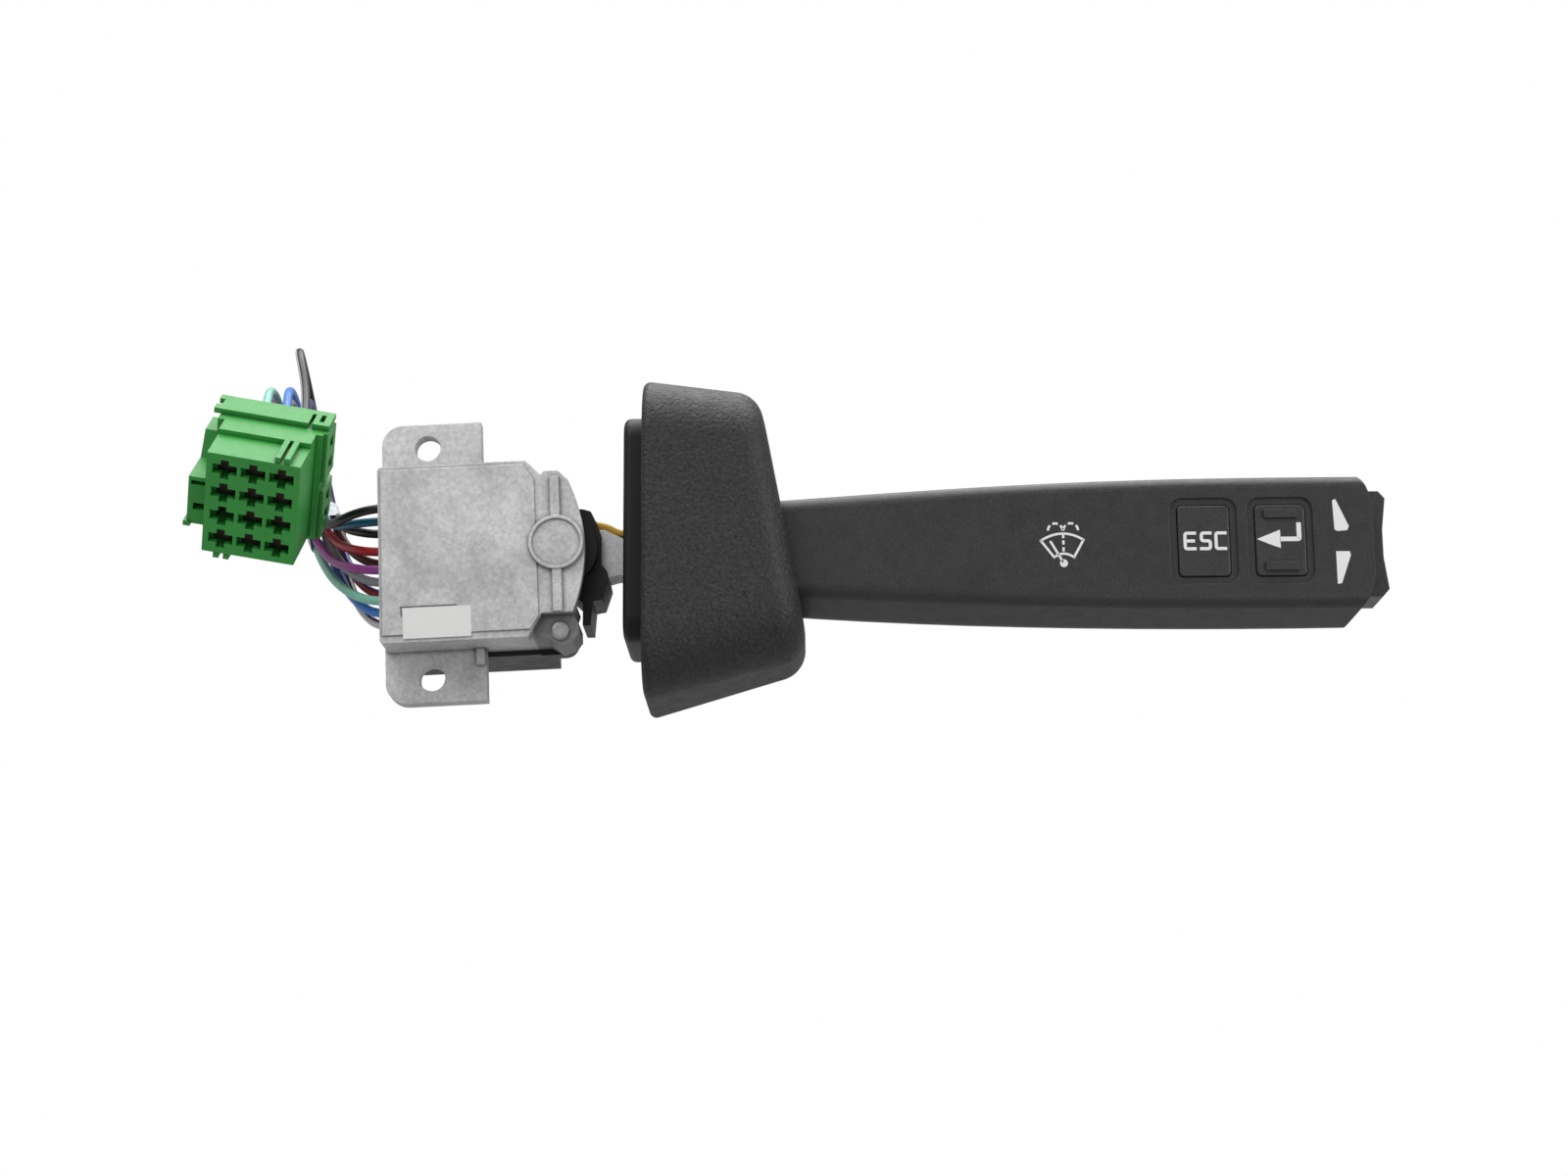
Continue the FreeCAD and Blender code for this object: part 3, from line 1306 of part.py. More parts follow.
outline(
    cross,
    [
        (f"{first_across} - cross_width / 2", f"{first_up} - cross_arm / 2"),
        (f"{first_across} - cross_slot / 2", f"{first_up} - cross_arm / 2"),
        (f"{first_across} - cross_slot / 2", f"{first_up} - cross_height / 2"),
        (f"{first_across} + cross_slot / 2", f"{first_up} - cross_height / 2"),
        (f"{first_across} + cross_slot / 2", f"{first_up} - cross_arm / 2"),
        (f"{first_across} + cross_width / 2", f"{first_up} - cross_arm / 2"),
        (f"{first_across} + cross_width / 2", f"{first_up} + cross_arm / 2"),
        (f"{first_across} + cross_slot / 2", f"{first_up} + cross_arm / 2"),
        (f"{first_across} + cross_slot / 2", f"{first_up} + cross_height / 2"),
        (f"{first_across} - cross_slot / 2", f"{first_up} + cross_height / 2"),
        (f"{first_across} - cross_slot / 2", f"{first_up} + cross_arm / 2"),
        (f"{first_across} - cross_width / 2", f"{first_up} + cross_arm / 2"),
    ],
)
cross_cut = pocket(block, cross, "cavity_front + 0.5")
grid = block.newObject("PartDesign::MultiTransform", "CavityGrid")
grid.Originals = [cavity_cut, cross_cut]
steps = []
for name, axis, pitch, count in (
    ("CavityColumns", "H_Axis", "cavity_column_pitch", len(WIRE_COLUMNS)),
    ("CavityRows", "V_Axis", "cavity_row_pitch", len(WIRE_ROWS)),
):
    step = doc.addObject("PartDesign::LinearPattern", name)
    step.Direction = (cavity, [axis])
    step.Occurrences = count
    step.setExpression("Length", linked(f"{pitch} * {count - 1}"))
    steps.append(step)
grid.Transformations = steps
block.Tip = grid
doc.recompute()
guides = sketch(block, "GuideRibs", "XY_Plane", "block_height / 2")
for number in range(2):
    left = f"block_width / 2 - 2.4 - {number + 1} * guide_rib - {number} * guide_rib_gap"
    rectangle(guides, left, f"{left} + guide_rib", "0.3", "step_depth")
pad(block, guides, "guide_rib_height")
hooks = sketch(block, "CodingHooks", "XY_Plane", "-block_height / 2")
for across in ("-7.6", "-5.4"):
    rectangle(hooks, across, f"{across} + guide_rib", "0.4", "2.6")
pad(block, hooks, "hook_reach", reverse=True)
keep(block, "connector_block", CONNECTOR)

frame = body("ConnectorFrameBody")
frame_ring = sketch(frame, "FrameRing", "XZ_Plane", "-connector_depth")
rectangle(frame_ring, "-frame_side", "frame_side", "-block_height / 2 - frame_foot", "frame_top")
pad(frame, frame_ring, "connector_depth - block_depth")
top_step = sketch(frame, "TopStep", "XZ_Plane", "-block_depth")
rectangle(top_step, "-block_width / 2", "block_width / 2", "0", "frame_top")
pad(frame, top_step, "block_depth - step_depth")
top_bar = sketch(frame, "TopBar", "XZ_Plane", "-connector_depth")
rectangle(top_bar, "-bar_left", "bar_right", "frame_top", "frame_top + bar_height")
pad(frame, top_bar, "connector_depth - bar_start")
frame_bore = sketch(frame, "FrameBore", "XZ_Plane", "-connector_depth")
rectangle(
    frame_bore,
    "-block_width / 2 - frame_play",
    "block_width / 2 + frame_play",
    "-block_height / 2 - frame_play",
    "block_height / 2 + frame_play",
)
pocket(frame, frame_bore, "connector_depth", reverse=True)
bar_notches = sketch(frame, "BarNotches", "XY_Plane", "frame_top + bar_height")
rectangle(bar_notches, "-bar_left - 1", "-bar_left + 1.2", "bar_start + 2.2", "connector_depth - 2")
rectangle(bar_notches, "block_width / 2 - 2.4", "block_width / 2 - 1.6", "bar_start - 1", "connector_depth - 2")
rectangle(bar_notches, "block_width / 2 - 0.4", "block_width / 2 + 0.6", "bar_start + 1.6", "connector_depth - 2")
pocket(frame, bar_notches, "bar_height")
side_rails = sketch(frame, "SideRails", "YZ_Plane", "frame_side")
rail_start = "block_depth + 1"
outline(
    side_rails,
    [
        (rail_start, "rail_gap_top"),
        ("connector_depth", "rail_gap_top"),
        ("connector_depth", "frame_top - 1"),
        ("connector_depth - 2", "frame_top"),
        (rail_start, "frame_top"),
    ],
)
outline(
    side_rails,
    [
        (rail_start, "-block_height / 2 - frame_foot"),
        ("connector_depth - 3", "-block_height / 2 - frame_foot"),
        ("connector_depth", "-block_height / 2 + 2.4"),
        ("connector_depth", "rail_gap_top - rail_gap"),
        (rail_start, "rail_gap_top - rail_gap"),
    ],
)
pad(frame, side_rails, "rail_thickness")
rail_windows = sketch(frame, "RailWindows", "YZ_Plane", "frame_side")
for low in ("rail_gap_top + 1.6", "rail_gap_top + 6.6", "rail_gap_top - rail_gap - 4.4", "rail_gap_top - rail_gap - 8.6"):
    rectangle(rail_windows, "connector_depth - 5.6", "connector_depth - 2.2", low, f"{low} + 2.6")
pocket(frame, rail_windows, "rail_thickness + 0.4", reverse=True)
rail_relief = sketch(frame, "RailRelief", "YZ_Plane", "frame_side - 0.6")
rectangle(rail_relief, "connector_depth - 3", "connector_depth + 1", "rail_gap_top - rail_gap", "rail_gap_top")
pocket(frame, rail_relief, "2", reverse=True)
keep(frame, "connector_frame", CONNECTOR)

# The locking lever stands off the frame's left side, with two slots through it and a toe at its foot
latch = body("ConnectorLatchBody")
latch_side = sketch(latch, "LatchSide", "YZ_Plane", "-latch_left")
outline(
    latch_side,
    [
        ("latch_front", "latch_low"),
        ("block_depth + 3", "latch_low"),
        ("connector_depth - 1", "latch_low + 1.5"),
        ("connector_depth - 1", "latch_high + 5.4"),
        ("block_depth + 2", "latch_high + 5.4"),
        ("block_depth - 1", "latch_high"),
        ("latch_front", "latch_high"),
    ],
)
pad(latch, latch_side, "latch_left - block_width / 2 - frame_play * 3")
latch_seat = sketch(latch, "LatchSeat", "XZ_Plane", "-block_depth")
rectangle(latch_seat, "-frame_side", "-block_width / 2 + 1", "latch_low - 1", "latch_high + 7")
pocket(latch, latch_seat, "connector_depth")
latch_slots = sketch(latch, "LatchSlots", "XZ_Plane", "-latch_front")
rectangle(latch_slots, "-latch_left + 0.6", "-block_width / 2", "latch_high - 1.9", "latch_high - 0.9")
rectangle(latch_slots, "-latch_left + 1.2", "-block_width / 2", "latch_low + 3.4", "latch_low + 5.0")
pocket(latch, latch_slots, "connector_depth - latch_front - 8")
latch_toe = sketch(latch, "LatchToe", "XZ_Plane", "-latch_front - 5")
rectangle(latch_toe, "-latch_left - latch_toe_reach", "-latch_left + 0.8", "latch_low - 0.6", "latch_low + 0.5")
pad(latch, latch_toe, "5.4")
keep(latch, "connector_latch", CONNECTOR)

# Terminals and wires: lanes that keep their order all the way from the connector to the gland wall
WIRE_NAMES = {
    (-1, 1.5): "mint",
    (0, 1.5): "blue",
    (1, 1.5): "black_tall",
    (-1, 0.5): "purple",
    (0, 0.5): "grey",
    (1, 0.5): "navy",
    (0, -0.5): "red",
    (1, -0.5): "brown",
    (-1, -1.5): "black_low",
    (0, -1.5): "teal",
    (1, -1.5): "black_mid",
}
for (column, row), name in WIRE_NAMES.items():
    terminal = box(
        "Terminal_" + name,
        f"{column} * cavity_column_pitch - terminal_width / 2",
        f"{column} * cavity_column_pitch + terminal_width / 2",
        "terminal_front",
        "terminal_back",
        f"{row} * cavity_row_pitch - terminal_height / 2",
        f"{row} * cavity_row_pitch + terminal_height / 2",
        carried=CONNECTOR,
    )
    keep(terminal, "terminal_" + name)


def frame_point(across, depth, up):
    """A point of the connector's frame, in the part's frame."""
    turn = FreeCAD.Rotation(value("connector_yaw"), value("connector_pitch"), value("connector_roll"))
    spot = FreeCAD.Vector(value("connector_x"), value("connector_y"), value("connector_z"))
    return spot + turn.multVec(FreeCAD.Vector(across, depth, up))


# Stations of the harness between the connector and the gland: centre, step per column, step per row
HARNESS = [
    ((-34.9, 21.3, 46.0), (4.2, 0.0, 0.0), (0.1, -0.3, 2.8)),
    ((-35.0, 34.4, 43.2), (3.9, 0.2, 0.0), (0.1, 1.7, 2.3)),
    ((-33.2, 39.2, 30.4), (3.5, 0.6, 0.0), (0.0, 2.6, 0.5)),
    ((-29.2, 34.6, 18.2), (2.7, 1.3, 0.5), (0.0, 2.4, -1.6)),
    ((-24.2, 21.6, 9.6), (1.5, 2.2, 0.4), (0.0, 1.2, -3.6)),
    ((-18.4, 10.8, 4.2), (0.6, 2.9, -1.3), (0.0, 0.2, -6.0)),
    ((value("base_left - gland_run"), *GLAND_CENTRE[1:]), GLAND_COLUMN, GLAND_ROW),
    (GLAND_CENTRE, GLAND_COLUMN, GLAND_ROW),
]
# Behind the connector the lanes start at this depth and these steps, in the connector's frame
TAIL_REACH = 7.0
TAIL_COLUMN = 4.9
TAIL_ROW = 4.3
# The tall wire stands this much above its lane at the tail and the first three stations
TALL_LANE = (1, 1.5)
TALL_LIFT = [(0.0, 2.5, 4.5), (-2.5, 1.0, 11.0), (-2.5, 2.5, 7.5), (-0.8, 3.0, 1.5)]


def lane(station, column, row):
    centre, across, up = station
    return FreeCAD.Vector(*(centre[n] + column * across[n] + row * up[n] for n in range(3)))


def wire_points(column, row):
    pitch_across, pitch_up = value("cavity_column_pitch"), value("cavity_row_pitch")
    points = [
        frame_point(column * pitch_across, value("terminal_back"), row * pitch_up),
        frame_point(column * TAIL_COLUMN, value("connector_depth") + TAIL_REACH, row * TAIL_ROW),
    ]
    points += [lane(station, column, row) for station in HARNESS]
    if (column, row) == TALL_LANE:
        for number, lift in enumerate(TALL_LIFT, start=1):
            points[number] += FreeCAD.Vector(*lift)
    return points


def cord(points, diameter):
    """A round tube of straight runs joined by tangent arcs, with the tightest radius and the length."""
    runs = [after - before for before, after in zip(points, points[1:])]
    edges = []
    start = points[0]
    tightest = 1e9
    for number in range(1, len(points) - 1):
        before, after = runs[number - 1], runs[number]
        turn = before.getAngle(after)
        reach = 0.45 * min(before.Length, after.Length)
        radius = reach / math.tan(turn / 2)
        tightest = min(tightest, radius)
        here = points[number]
        entry = here - before / before.Length * reach
        leave = here + after / after.Length * reach
        inward = (after / after.Length - before / before.Length).normalize()
        centre = here + inward * (radius / math.cos(turn / 2))
        middle = centre - inward * radius
        edges.append(Part.LineSegment(start, entry).toShape())
        edges.append(Part.Arc(entry, middle, leave).toShape())
        start = leave
    edges.append(Part.LineSegment(start, points[-1]).toShape())
    path = Part.Wire(edges)
    section = Part.Wire(Part.makeCircle(diameter / 2, points[0], runs[0]))
    tube = path.makePipeShell([section], True, False)
    return tube, path.Length, tightest


for (column, row), name in WIRE_NAMES.items():
    diameter = value("wire_diameter")
    tube, length, tightest = cord(wire_points(column, row), diameter)
    expected = math.pi * diameter**2 / 4 * length
    print(f"wire {name}: length {length:.1f}, tightest radius {tightest:.1f}, volume ratio {tube.Volume / expected:.4f}")
    wire = doc.addObject("Part::Feature", "Wire_" + name)
    wire.Shape = tube
    keep(wire, "wire_" + name)

# A clip on the arm's shoulder and two thin wires from it, over the neck, to the key board in the handle
clip = box(
    "WireClip",
    "arm_flare - 5.2",
    "arm_flare - 3.6",
    "-clip_half",
    "clip_half",
    "arm_shoulder",
    "clip_top",
    carried=LEVER,
)
keep(clip, "wire_clip")
board_middle = "key_board_front + key_board_thickness / 2"
for number, side in enumerate((-1, 1)):
    offset = side * value("arm_wire_diameter") * 0.55
    points = [
        FreeCAD.Vector(value("arm_flare - 3.6"), offset, 7.3),
        FreeCAD.Vector(9.3, offset, 7.0),
        FreeCAD.Vector(12.2, offset, 5.1),
        FreeCAD.Vector(15.4, offset, 5.2),
        FreeCAD.Vector(20.0, offset, 5.1),
        FreeCAD.Vector(28.0, offset, 4.6),
        FreeCAD.Vector(42.0, offset, 4.9),
        FreeCAD.Vector(66.0, offset * 1.6, 5.6),
        FreeCAD.Vector(90.0, offset * 2.0 - 0.6, 4.4),
        FreeCAD.Vector(107.0, offset * 0.4 - 2.1, 1.8 + side * 1.2),
        FreeCAD.Vector(value("key_board_left"), value(board_middle), 1.4 + side * 1.4),
    ]
    tube, length, tightest = cord(points, value("arm_wire_diameter"))
    print(f"lever wire {number + 1}: length {length:.1f}, tightest radius {tightest:.1f}")
    wire = doc.addObject("Part::Feature", f"LeverWire{number + 1}")
    wire.Shape = tube
    keep(wire, f"lever_wire_{number + 1}", LEVER)

# Checks and export
doc.recompute()
for thing in doc.Objects:
    if "Invalid" in thing.State or "Error" in thing.State:
        raise RuntimeError(f"{thing.Name} is in error")
os.makedirs("parts", exist_ok=True)
for label, thing in NODES:
    shape = thing.Shape
    if shape.isNull() or not shape.isValid() or len(shape.Solids) != 1:
        raise RuntimeError(f"{label} is not one valid solid")
    shape.exportStep(f"parts/{label}.step")
print(len(NODES), "sub-parts")
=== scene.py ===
import math

import bmesh
import bpy
from mathutils import Matrix, Vector
from mathutils.bvhtree import BVHTree


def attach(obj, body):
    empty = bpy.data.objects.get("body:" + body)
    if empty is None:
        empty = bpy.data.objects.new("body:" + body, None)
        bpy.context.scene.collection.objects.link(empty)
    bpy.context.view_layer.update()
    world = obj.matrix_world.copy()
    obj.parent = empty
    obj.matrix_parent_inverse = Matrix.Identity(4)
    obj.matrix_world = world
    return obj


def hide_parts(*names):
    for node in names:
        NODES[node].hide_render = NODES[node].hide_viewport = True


bl_info = {
    "name": "Combination stalk switch",
    "version": (1, 0, 0),
    "blender": (4, 5, 0),
    "location": "View3D > Sidebar > Stalk Switch",
    "description": "Finishes, markings, wires and trim for a steering column wiper stalk",
    "category": "Object",
}

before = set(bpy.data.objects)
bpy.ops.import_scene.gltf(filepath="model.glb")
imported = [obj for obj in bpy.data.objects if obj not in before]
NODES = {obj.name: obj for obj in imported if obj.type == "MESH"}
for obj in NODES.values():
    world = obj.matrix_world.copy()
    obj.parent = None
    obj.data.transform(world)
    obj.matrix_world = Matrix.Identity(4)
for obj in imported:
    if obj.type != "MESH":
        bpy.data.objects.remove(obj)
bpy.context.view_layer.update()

MM = 0.001
PIVOT = Vector((28.15, 0.0, 0.5)) * MM
REST_DROOP = math.radians(2.3)
# From the lever's own frame, X along the lever from the pivot, to the part's frame
LEVER = Matrix.Translation(PIVOT) @ Matrix.Rotation(REST_DROOP, 4, "Y")
# From the connector's own frame, mouth centre at the origin and Y towards the wires, to the part's frame
CONNECTOR = (
    Matrix.Translation(Vector((-36.7, -14.0, 11.1)) * MM)
    @ Matrix.Rotation(math.radians(3.0), 4, "Z")
    @ Matrix.Rotation(math.radians(12.0), 4, "Y")
    @ Matrix.Rotation(math.radians(41.0), 4, "X")
)


# Materials


def node(tree, kind, **settings):
    made = tree.nodes.new(kind)
    for name, setting in settings.items():
        setattr(made, name, setting)
    return made


def noise(tree, vector, scale, detail=3.0, roughness=0.55):
    made = node(tree, "ShaderNodeTexNoise")
    made.inputs["Scale"].default_value = scale
    made.inputs["Detail"].default_value = detail
    made.inputs["Roughness"].default_value = roughness
    tree.links.new(vector, made.inputs["Vector"])
    return made.outputs["Fac"]


def spread(tree, source, low, high, start=0.3, stop=0.7):
    """Maps the middle of a noise to the range from low to high."""
    made = node(tree, "ShaderNodeMapRange")
    tree.links.new(source, made.inputs["Value"])
    for name, setting in (("From Min", start), ("From Max", stop), ("To Min", low), ("To Max", high)):
        made.inputs[name].default_value = setting
    return made.outputs["Result"]


def mix(tree, factor, first, second):
    made = node(tree, "ShaderNodeMix", data_type="RGBA")
    tree.links.new(factor, made.inputs[0])
    for socket, source in ((made.inputs[6], first), (made.inputs[7], second)):
        if isinstance(source, bpy.types.NodeSocket):
            tree.links.new(source, socket)
        else:
            socket.default_value = (*source, 1.0)
    return made.outputs[2]


def finish(
    name,
    colour,
    roughness=0.45,
    metallic=0.0,
    patch=0.08,
    patch_scale=90.0,
    grain=0.0,
    grain_scale=2600.0,
    edge=0.25 * MM,
    coat=0.0,
    rough_spread=0.06,
    second_grain=0.0,
    speckle=0.0,
    speckle_scale=1400.0,
    crease_shade=0.0,
    specular=0.5,
):
    """A finish with patches of lighter and darker colour, a fine grain, painted shade that darkens creases and
    softened edges.
    """
    # The frame brings plain materials under the slots' names, so a finish has its own
    name = "finish_" + name
    if name in bpy.data.materials:
        return bpy.data.materials[name]
    material = bpy.data.materials.new(name)
    material.use_nodes = True
    tree = material.node_tree
    shader = tree.nodes["Principled BSDF"]
    shader.inputs["Metallic"].default_value = metallic
    shader.inputs["Coat Weight"].default_value = coat
    shader.inputs["Specular IOR Level"].default_value = specular
    place = node(tree, "ShaderNodeTexCoord").outputs["Object"]
    patches = spread(tree, noise(tree, place, patch_scale), 0.0, 1.0)
    dark = [channel * (1 - patch) for channel in colour]
    light = [min(1.0, channel * (1 + patch)) for channel in colour]
    tint = mix(tree, patches, dark, light)
    if speckle:
        dots = noise(tree, place, speckle_scale, 4.0, 0.7)
        specks = spread(tree, dots, 1 - speckle, 1 + speckle, 0.38, 0.62)
        scaled = node(tree, "ShaderNodeVectorMath", operation="SCALE")
        tree.links.new(tint, scaled.inputs[0])
        tree.links.new(specks, scaled.inputs["Scale"])
        tint = scaled.outputs[0]
    # Painted shade: an occlusion probe darkens the colour in creases and recesses, where shade falls.
    if crease_shade:
        shade_probe = node(tree, "ShaderNodeAmbientOcclusion", samples=8, only_local=True)
        shade_probe.inputs["Distance"].default_value = crease_shade
        shade_factor = spread(tree, shade_probe.outputs["AO"], 0.25, 1.0, 0.35, 0.95)
        shaded_tint = node(tree, "ShaderNodeVectorMath", operation="SCALE")
        tree.links.new(tint, shaded_tint.inputs[0])
        tree.links.new(shade_factor, shaded_tint.inputs["Scale"])
        tint = shaded_tint.outputs[0]
    tree.links.new(tint, shader.inputs["Base Color"])
    clouds = noise(tree, place, patch_scale * 4)
    sheen = spread(tree, clouds, roughness - rough_spread, roughness + rough_spread)
    tree.links.new(sheen, shader.inputs["Roughness"])
    rounded = node(tree, "ShaderNodeBevel", samples=4)
    rounded.inputs["Radius"].default_value = edge
    normal = rounded.outputs["Normal"]
    for strength, scale in ((grain, grain_scale), (second_grain, grain_scale / 5)):
        if strength:
            bump = node(tree, "ShaderNodeBump")
            bump.inputs["Distance"].default_value = strength
            tree.links.new(noise(tree, place, scale, 2.0), bump.inputs["Height"])
            tree.links.new(normal, bump.inputs["Normal"])
            normal = bump.outputs["Normal"]
    tree.links.new(normal, shader.inputs["Normal"])
    return material


def cast_alloy():
    """Bare die casting: cloudy patches, fine speckle, painted shade in creases and a painted shadow over the sunk
    surround at the eye.
    """
    if "finish_cast_alloy" in bpy.data.materials:
        return bpy.data.materials["finish_cast_alloy"]
    material = finish(
        "cast_alloy",
        (0.57, 0.57, 0.57),
        roughness=0.46,
        metallic=0.45,
        patch=0.20,
        patch_scale=75.0,
        grain=0.03 * MM,
        grain_scale=1500.0,
        second_grain=0.05 * MM,
        edge=0.35 * MM,
        rough_spread=0.09,
        speckle=0.13,
        speckle_scale=1150.0,
        crease_shade=1.2 * MM,
    )
    tree = material.node_tree
    shader = tree.nodes["Principled BSDF"]
    ground = shader.inputs["Base Color"].links[0].from_socket
    place = node(tree, "ShaderNodeSeparateXYZ")
    tree.links.new(node(tree, "ShaderNodeTexCoord").outputs["Object"], place.inputs[0])
    # Painted shadow: a box in the part's own coordinates darkens the sunk surround at the eye, which lies in
    # shade.
    eye_shade_mask = None
    for axis, start, stop in (("X", 22.4, 22.9), ("Y", -13.3, -12.6), ("Z", -14.2, -14.7)):
        part = spread(tree, place.outputs[axis], 0.0, 1.0, start * MM, stop * MM)
        if eye_shade_mask is None:
            eye_shade_mask = part
            continue
        joined = node(tree, "ShaderNodeMath", operation="MULTIPLY")
        tree.links.new(part, joined.inputs[0])
        tree.links.new(eye_shade_mask, joined.inputs[1])
        eye_shade_mask = joined.outputs[0]
    shade = node(tree, "ShaderNodeVectorMath", operation="SCALE")
    tree.links.new(ground, shade.inputs[0])
    shade.inputs["Scale"].default_value = 0.45
    tree.links.new(mix(tree, eye_shade_mask, ground, shade.outputs[0]), shader.inputs["Base Color"])
    return material


def cowl_plastic():
    return finish(
        "cowl_plastic",
        (0.0155, 0.0155, 0.016),
        roughness=0.50,
        patch=0.05,
        grain=0.30 * MM,
        grain_scale=1300.0,
        edge=0.3 * MM,
        speckle=0.75,
        speckle_scale=1500.0,
    )


def handle_plastic():
    return finish(
        "handle_plastic",
        (0.026, 0.026, 0.0265),
        roughness=0.40,
        patch=0.08,
        grain=0.03 * MM,
        grain_scale=2600.0,
        edge=0.3 * MM,
        speckle=0.25,
        speckle_scale=1800.0,
        crease_shade=0.8 * MM,
    )


def key_plastic():
    return finish(
        "key_plastic",
        (0.033, 0.033, 0.0335),
        roughness=0.36,
        patch=0.08,
        grain=0.015 * MM,
        edge=0.3 * MM,
        speckle=0.2,
        crease_shade=0.8 * MM,
    )


def black_plastic():
    return finish(
        "black_plastic", (0.009, 0.009, 0.0095), roughness=0.4, patch=0.08, grain=0.02 * MM, specular=0.3
    )


def green_plastic():
    return finish(
        "green_plastic",
        (0.034, 0.310, 0.048),
        roughness=0.46,
        patch=0.06,
        patch_scale=160.0,
        grain=0.01 * MM,
        edge=0.15 * MM,
        crease_shade=1.0 * MM,
    )


def bright_steel():
    return finish(
        "bright_steel", (0.62, 0.61, 0.58), roughness=0.28, metallic=1.0, patch=0.06, grain=0.01 * MM
    )


def dull_steel():
    return finish(
        "dull_steel",
        (0.40, 0.40, 0.40),
        roughness=0.42,
        metallic=0.7,
        patch=0.15,
        patch_scale=400.0,
        grain=0.02 * MM,
        speckle=0.12,
        crease_shade=0.6 * MM,
    )


def copper_in_shade():
    # Painted shade: the terminals' copper is made very dark to stand for the shade deep inside the connector's
    # cavities.
    return finish(
        "copper_in_shade", (0.055, 0.030, 0.028), roughness=0.45, metallic=0.5, patch=0.2, patch_scale=600.0
    )


def slippery_plastic():
    return finish("slippery_plastic", (0.72, 0.71, 0.66), roughness=0.4, patch=0.03, grain=0.01 * MM)


def board_laminate():
    return finish(
        "board_laminate", (0.03, 0.14, 0.06), roughness=0.35, patch=0.15, patch_scale=900.0, coat=0.4
    )


def dome_rubber():
    return finish("dome_rubber", (0.5, 0.5, 0.47), roughness=0.6, patch=0.03, grain=0.01 * MM)


def mark_paint():
    return finish("mark_paint", (0.80, 0.80, 0.80), roughness=0.5, patch=0.02, edge=0.02 * MM)


NODE_FINISHES = {
    cast_alloy: ("housing", "lever_arm"),
    cowl_plastic: ("cowl",),
    handle_plastic: ("handle_front", "handle_back"),
    key_plastic: ("esc_button", "enter_button", "tip_rocker"),
    black_plastic: ("base_block", "carrier", "cowl_back_plate", "wire_clip"),
    green_plastic: ("connector_block", "connector_frame", "connector_latch"),
    dull_steel: ("eye_rivet",),
    bright_steel: (
        "cover_screw_1",
        "cover_screw_2",
        "cross_pin",
        "detent_spring",
        "handle_screw_1",
        "handle_screw_2",
        "rocker_pin",
    ),
    slippery_plastic: ("detent_cam", "detent_plunger", "contact_slider"),
    board_laminate: ("contact_board", "key_board"),
    dome_rubber: ("esc_dome", "enter_dome"),
}


# Making pieces


def piece(name, bm, material, body):
    """Turns a bmesh into a finished piece at the origin that rides on a body."""
    mesh = bpy.data.meshes.new(name)
    bm.to_mesh(mesh)
    bm.free()
    mesh.materials.append(material)
    made = bpy.data.objects.new(name, mesh)
    bpy.context.scene.collection.objects.link(made)
    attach(made, body)
    return made


def skin_of(*names):
    """A search tree over the shown faces of CAD nodes."""
    joined = bmesh.new()
    for name in names:
        joined.from_mesh(NODES[name].data)
    tree = BVHTree.FromBMesh(joined)
    joined.free()
    return tree


def lay_on(bm, skin, lift):
    """Moves each point along Y onto the surface that faces the driver, and a little proud of it."""
    for vert in bm.verts:
        hit = skin.ray_cast(Vector((vert.co.x, -0.1, vert.co.z)), Vector((0, 1, 0)))[0]
        if hit is not None:
            vert.co.y = hit.y - lift


def rounded(points, reach):
    """A line's points with each inner corner replaced by a small curve that starts and ends at the reach."""
    smooth = [points[0]]
    for before, corner, after in zip(points, points[1:], points[2:]):
        leave = corner + (before - corner).normalized() * reach
        join = corner + (after - corner).normalized() * reach
        for step in range(7):
            share = step / 6
            smooth.append(leave * (1 - share) ** 2 + corner * 2 * share * (1 - share) + join * share**2)
    return smooth + [points[-1]]


def through(start, middle, stop, steps=12):
    """Points on the bow through three places."""
    start, middle, stop = Vector(start), Vector(middle), Vector(stop)
    pull = middle * 2 - (start + stop) / 2
    shares = [step / steps for step in range(steps + 1)]
    return [start * (1 - share) ** 2 + pull * 2 * share * (1 - share) + stop * share**2 for share in shares]


def stroke(bm, places, width, reach=0.0):
    """A flat painted line through places (along, up) in the lever's frame, in millimetres."""
    points = [Vector(place) for place in places]
    if reach:
        points = rounded(points, reach)
    fine = [points[0]]
    for before, after in zip(points, points[1:]):
        parts = max(1, math.ceil((after - before).length))
        if (after - before).length > 1e-6:
            fine += [before.lerp(after, step / parts) for step in range(1, parts + 1)]
    sides = []
    for number, point in enumerate(fine):
        heading = fine[min(number + 1, len(fine) - 1)] - fine[max(number - 1, 0)]
        across = Vector((-heading.y, heading.x)).normalized() * width / 2
        edges = (point - across, point + across)
        sides.append([bm.verts.new(Vector((spot.x, 0, spot.y)) * MM) for spot in edges])
    for first, second in zip(sides, sides[1:]):
        bm.faces.new((first[0], second[0], second[1], first[1]))


def plate(bm, corners):
    """A flat plate with straight sides through places in the lever's frame."""
    verts = [bm.verts.new(Vector((along, 0, up)) * MM) for along, up in corners]
    bm.faces.new(verts)


def disc(bm, centre, radius):
    middle = Matrix.Translation(Vector((centre[0], 0, centre[1])) * MM)
    place = middle @ Matrix.Rotation(math.pi / 2, 4, "X")
    bmesh.ops.create_circle(bm, cap_ends=True, segments=24, radius=radius * MM, matrix=place)


# Settings


class STALK_PG_marks(bpy.types.PropertyGroup):
    """Painted markings on the handle and its keys."""

    lift: bpy.props.FloatProperty(
        name="Lift",
        description="How far the paint stands proud",
        default=0.04 * MM,
        unit="LENGTH",
        precision=6,
    )
    stroke: bpy.props.FloatProperty(
        name="Stroke", description="Width of the symbol's lines in millimetres", default=0.5
    )
    letter_stroke: bpy.props.FloatProperty(
        name="Letter stroke", description="Width of the keys' lines in millimetres", default=0.68
    )


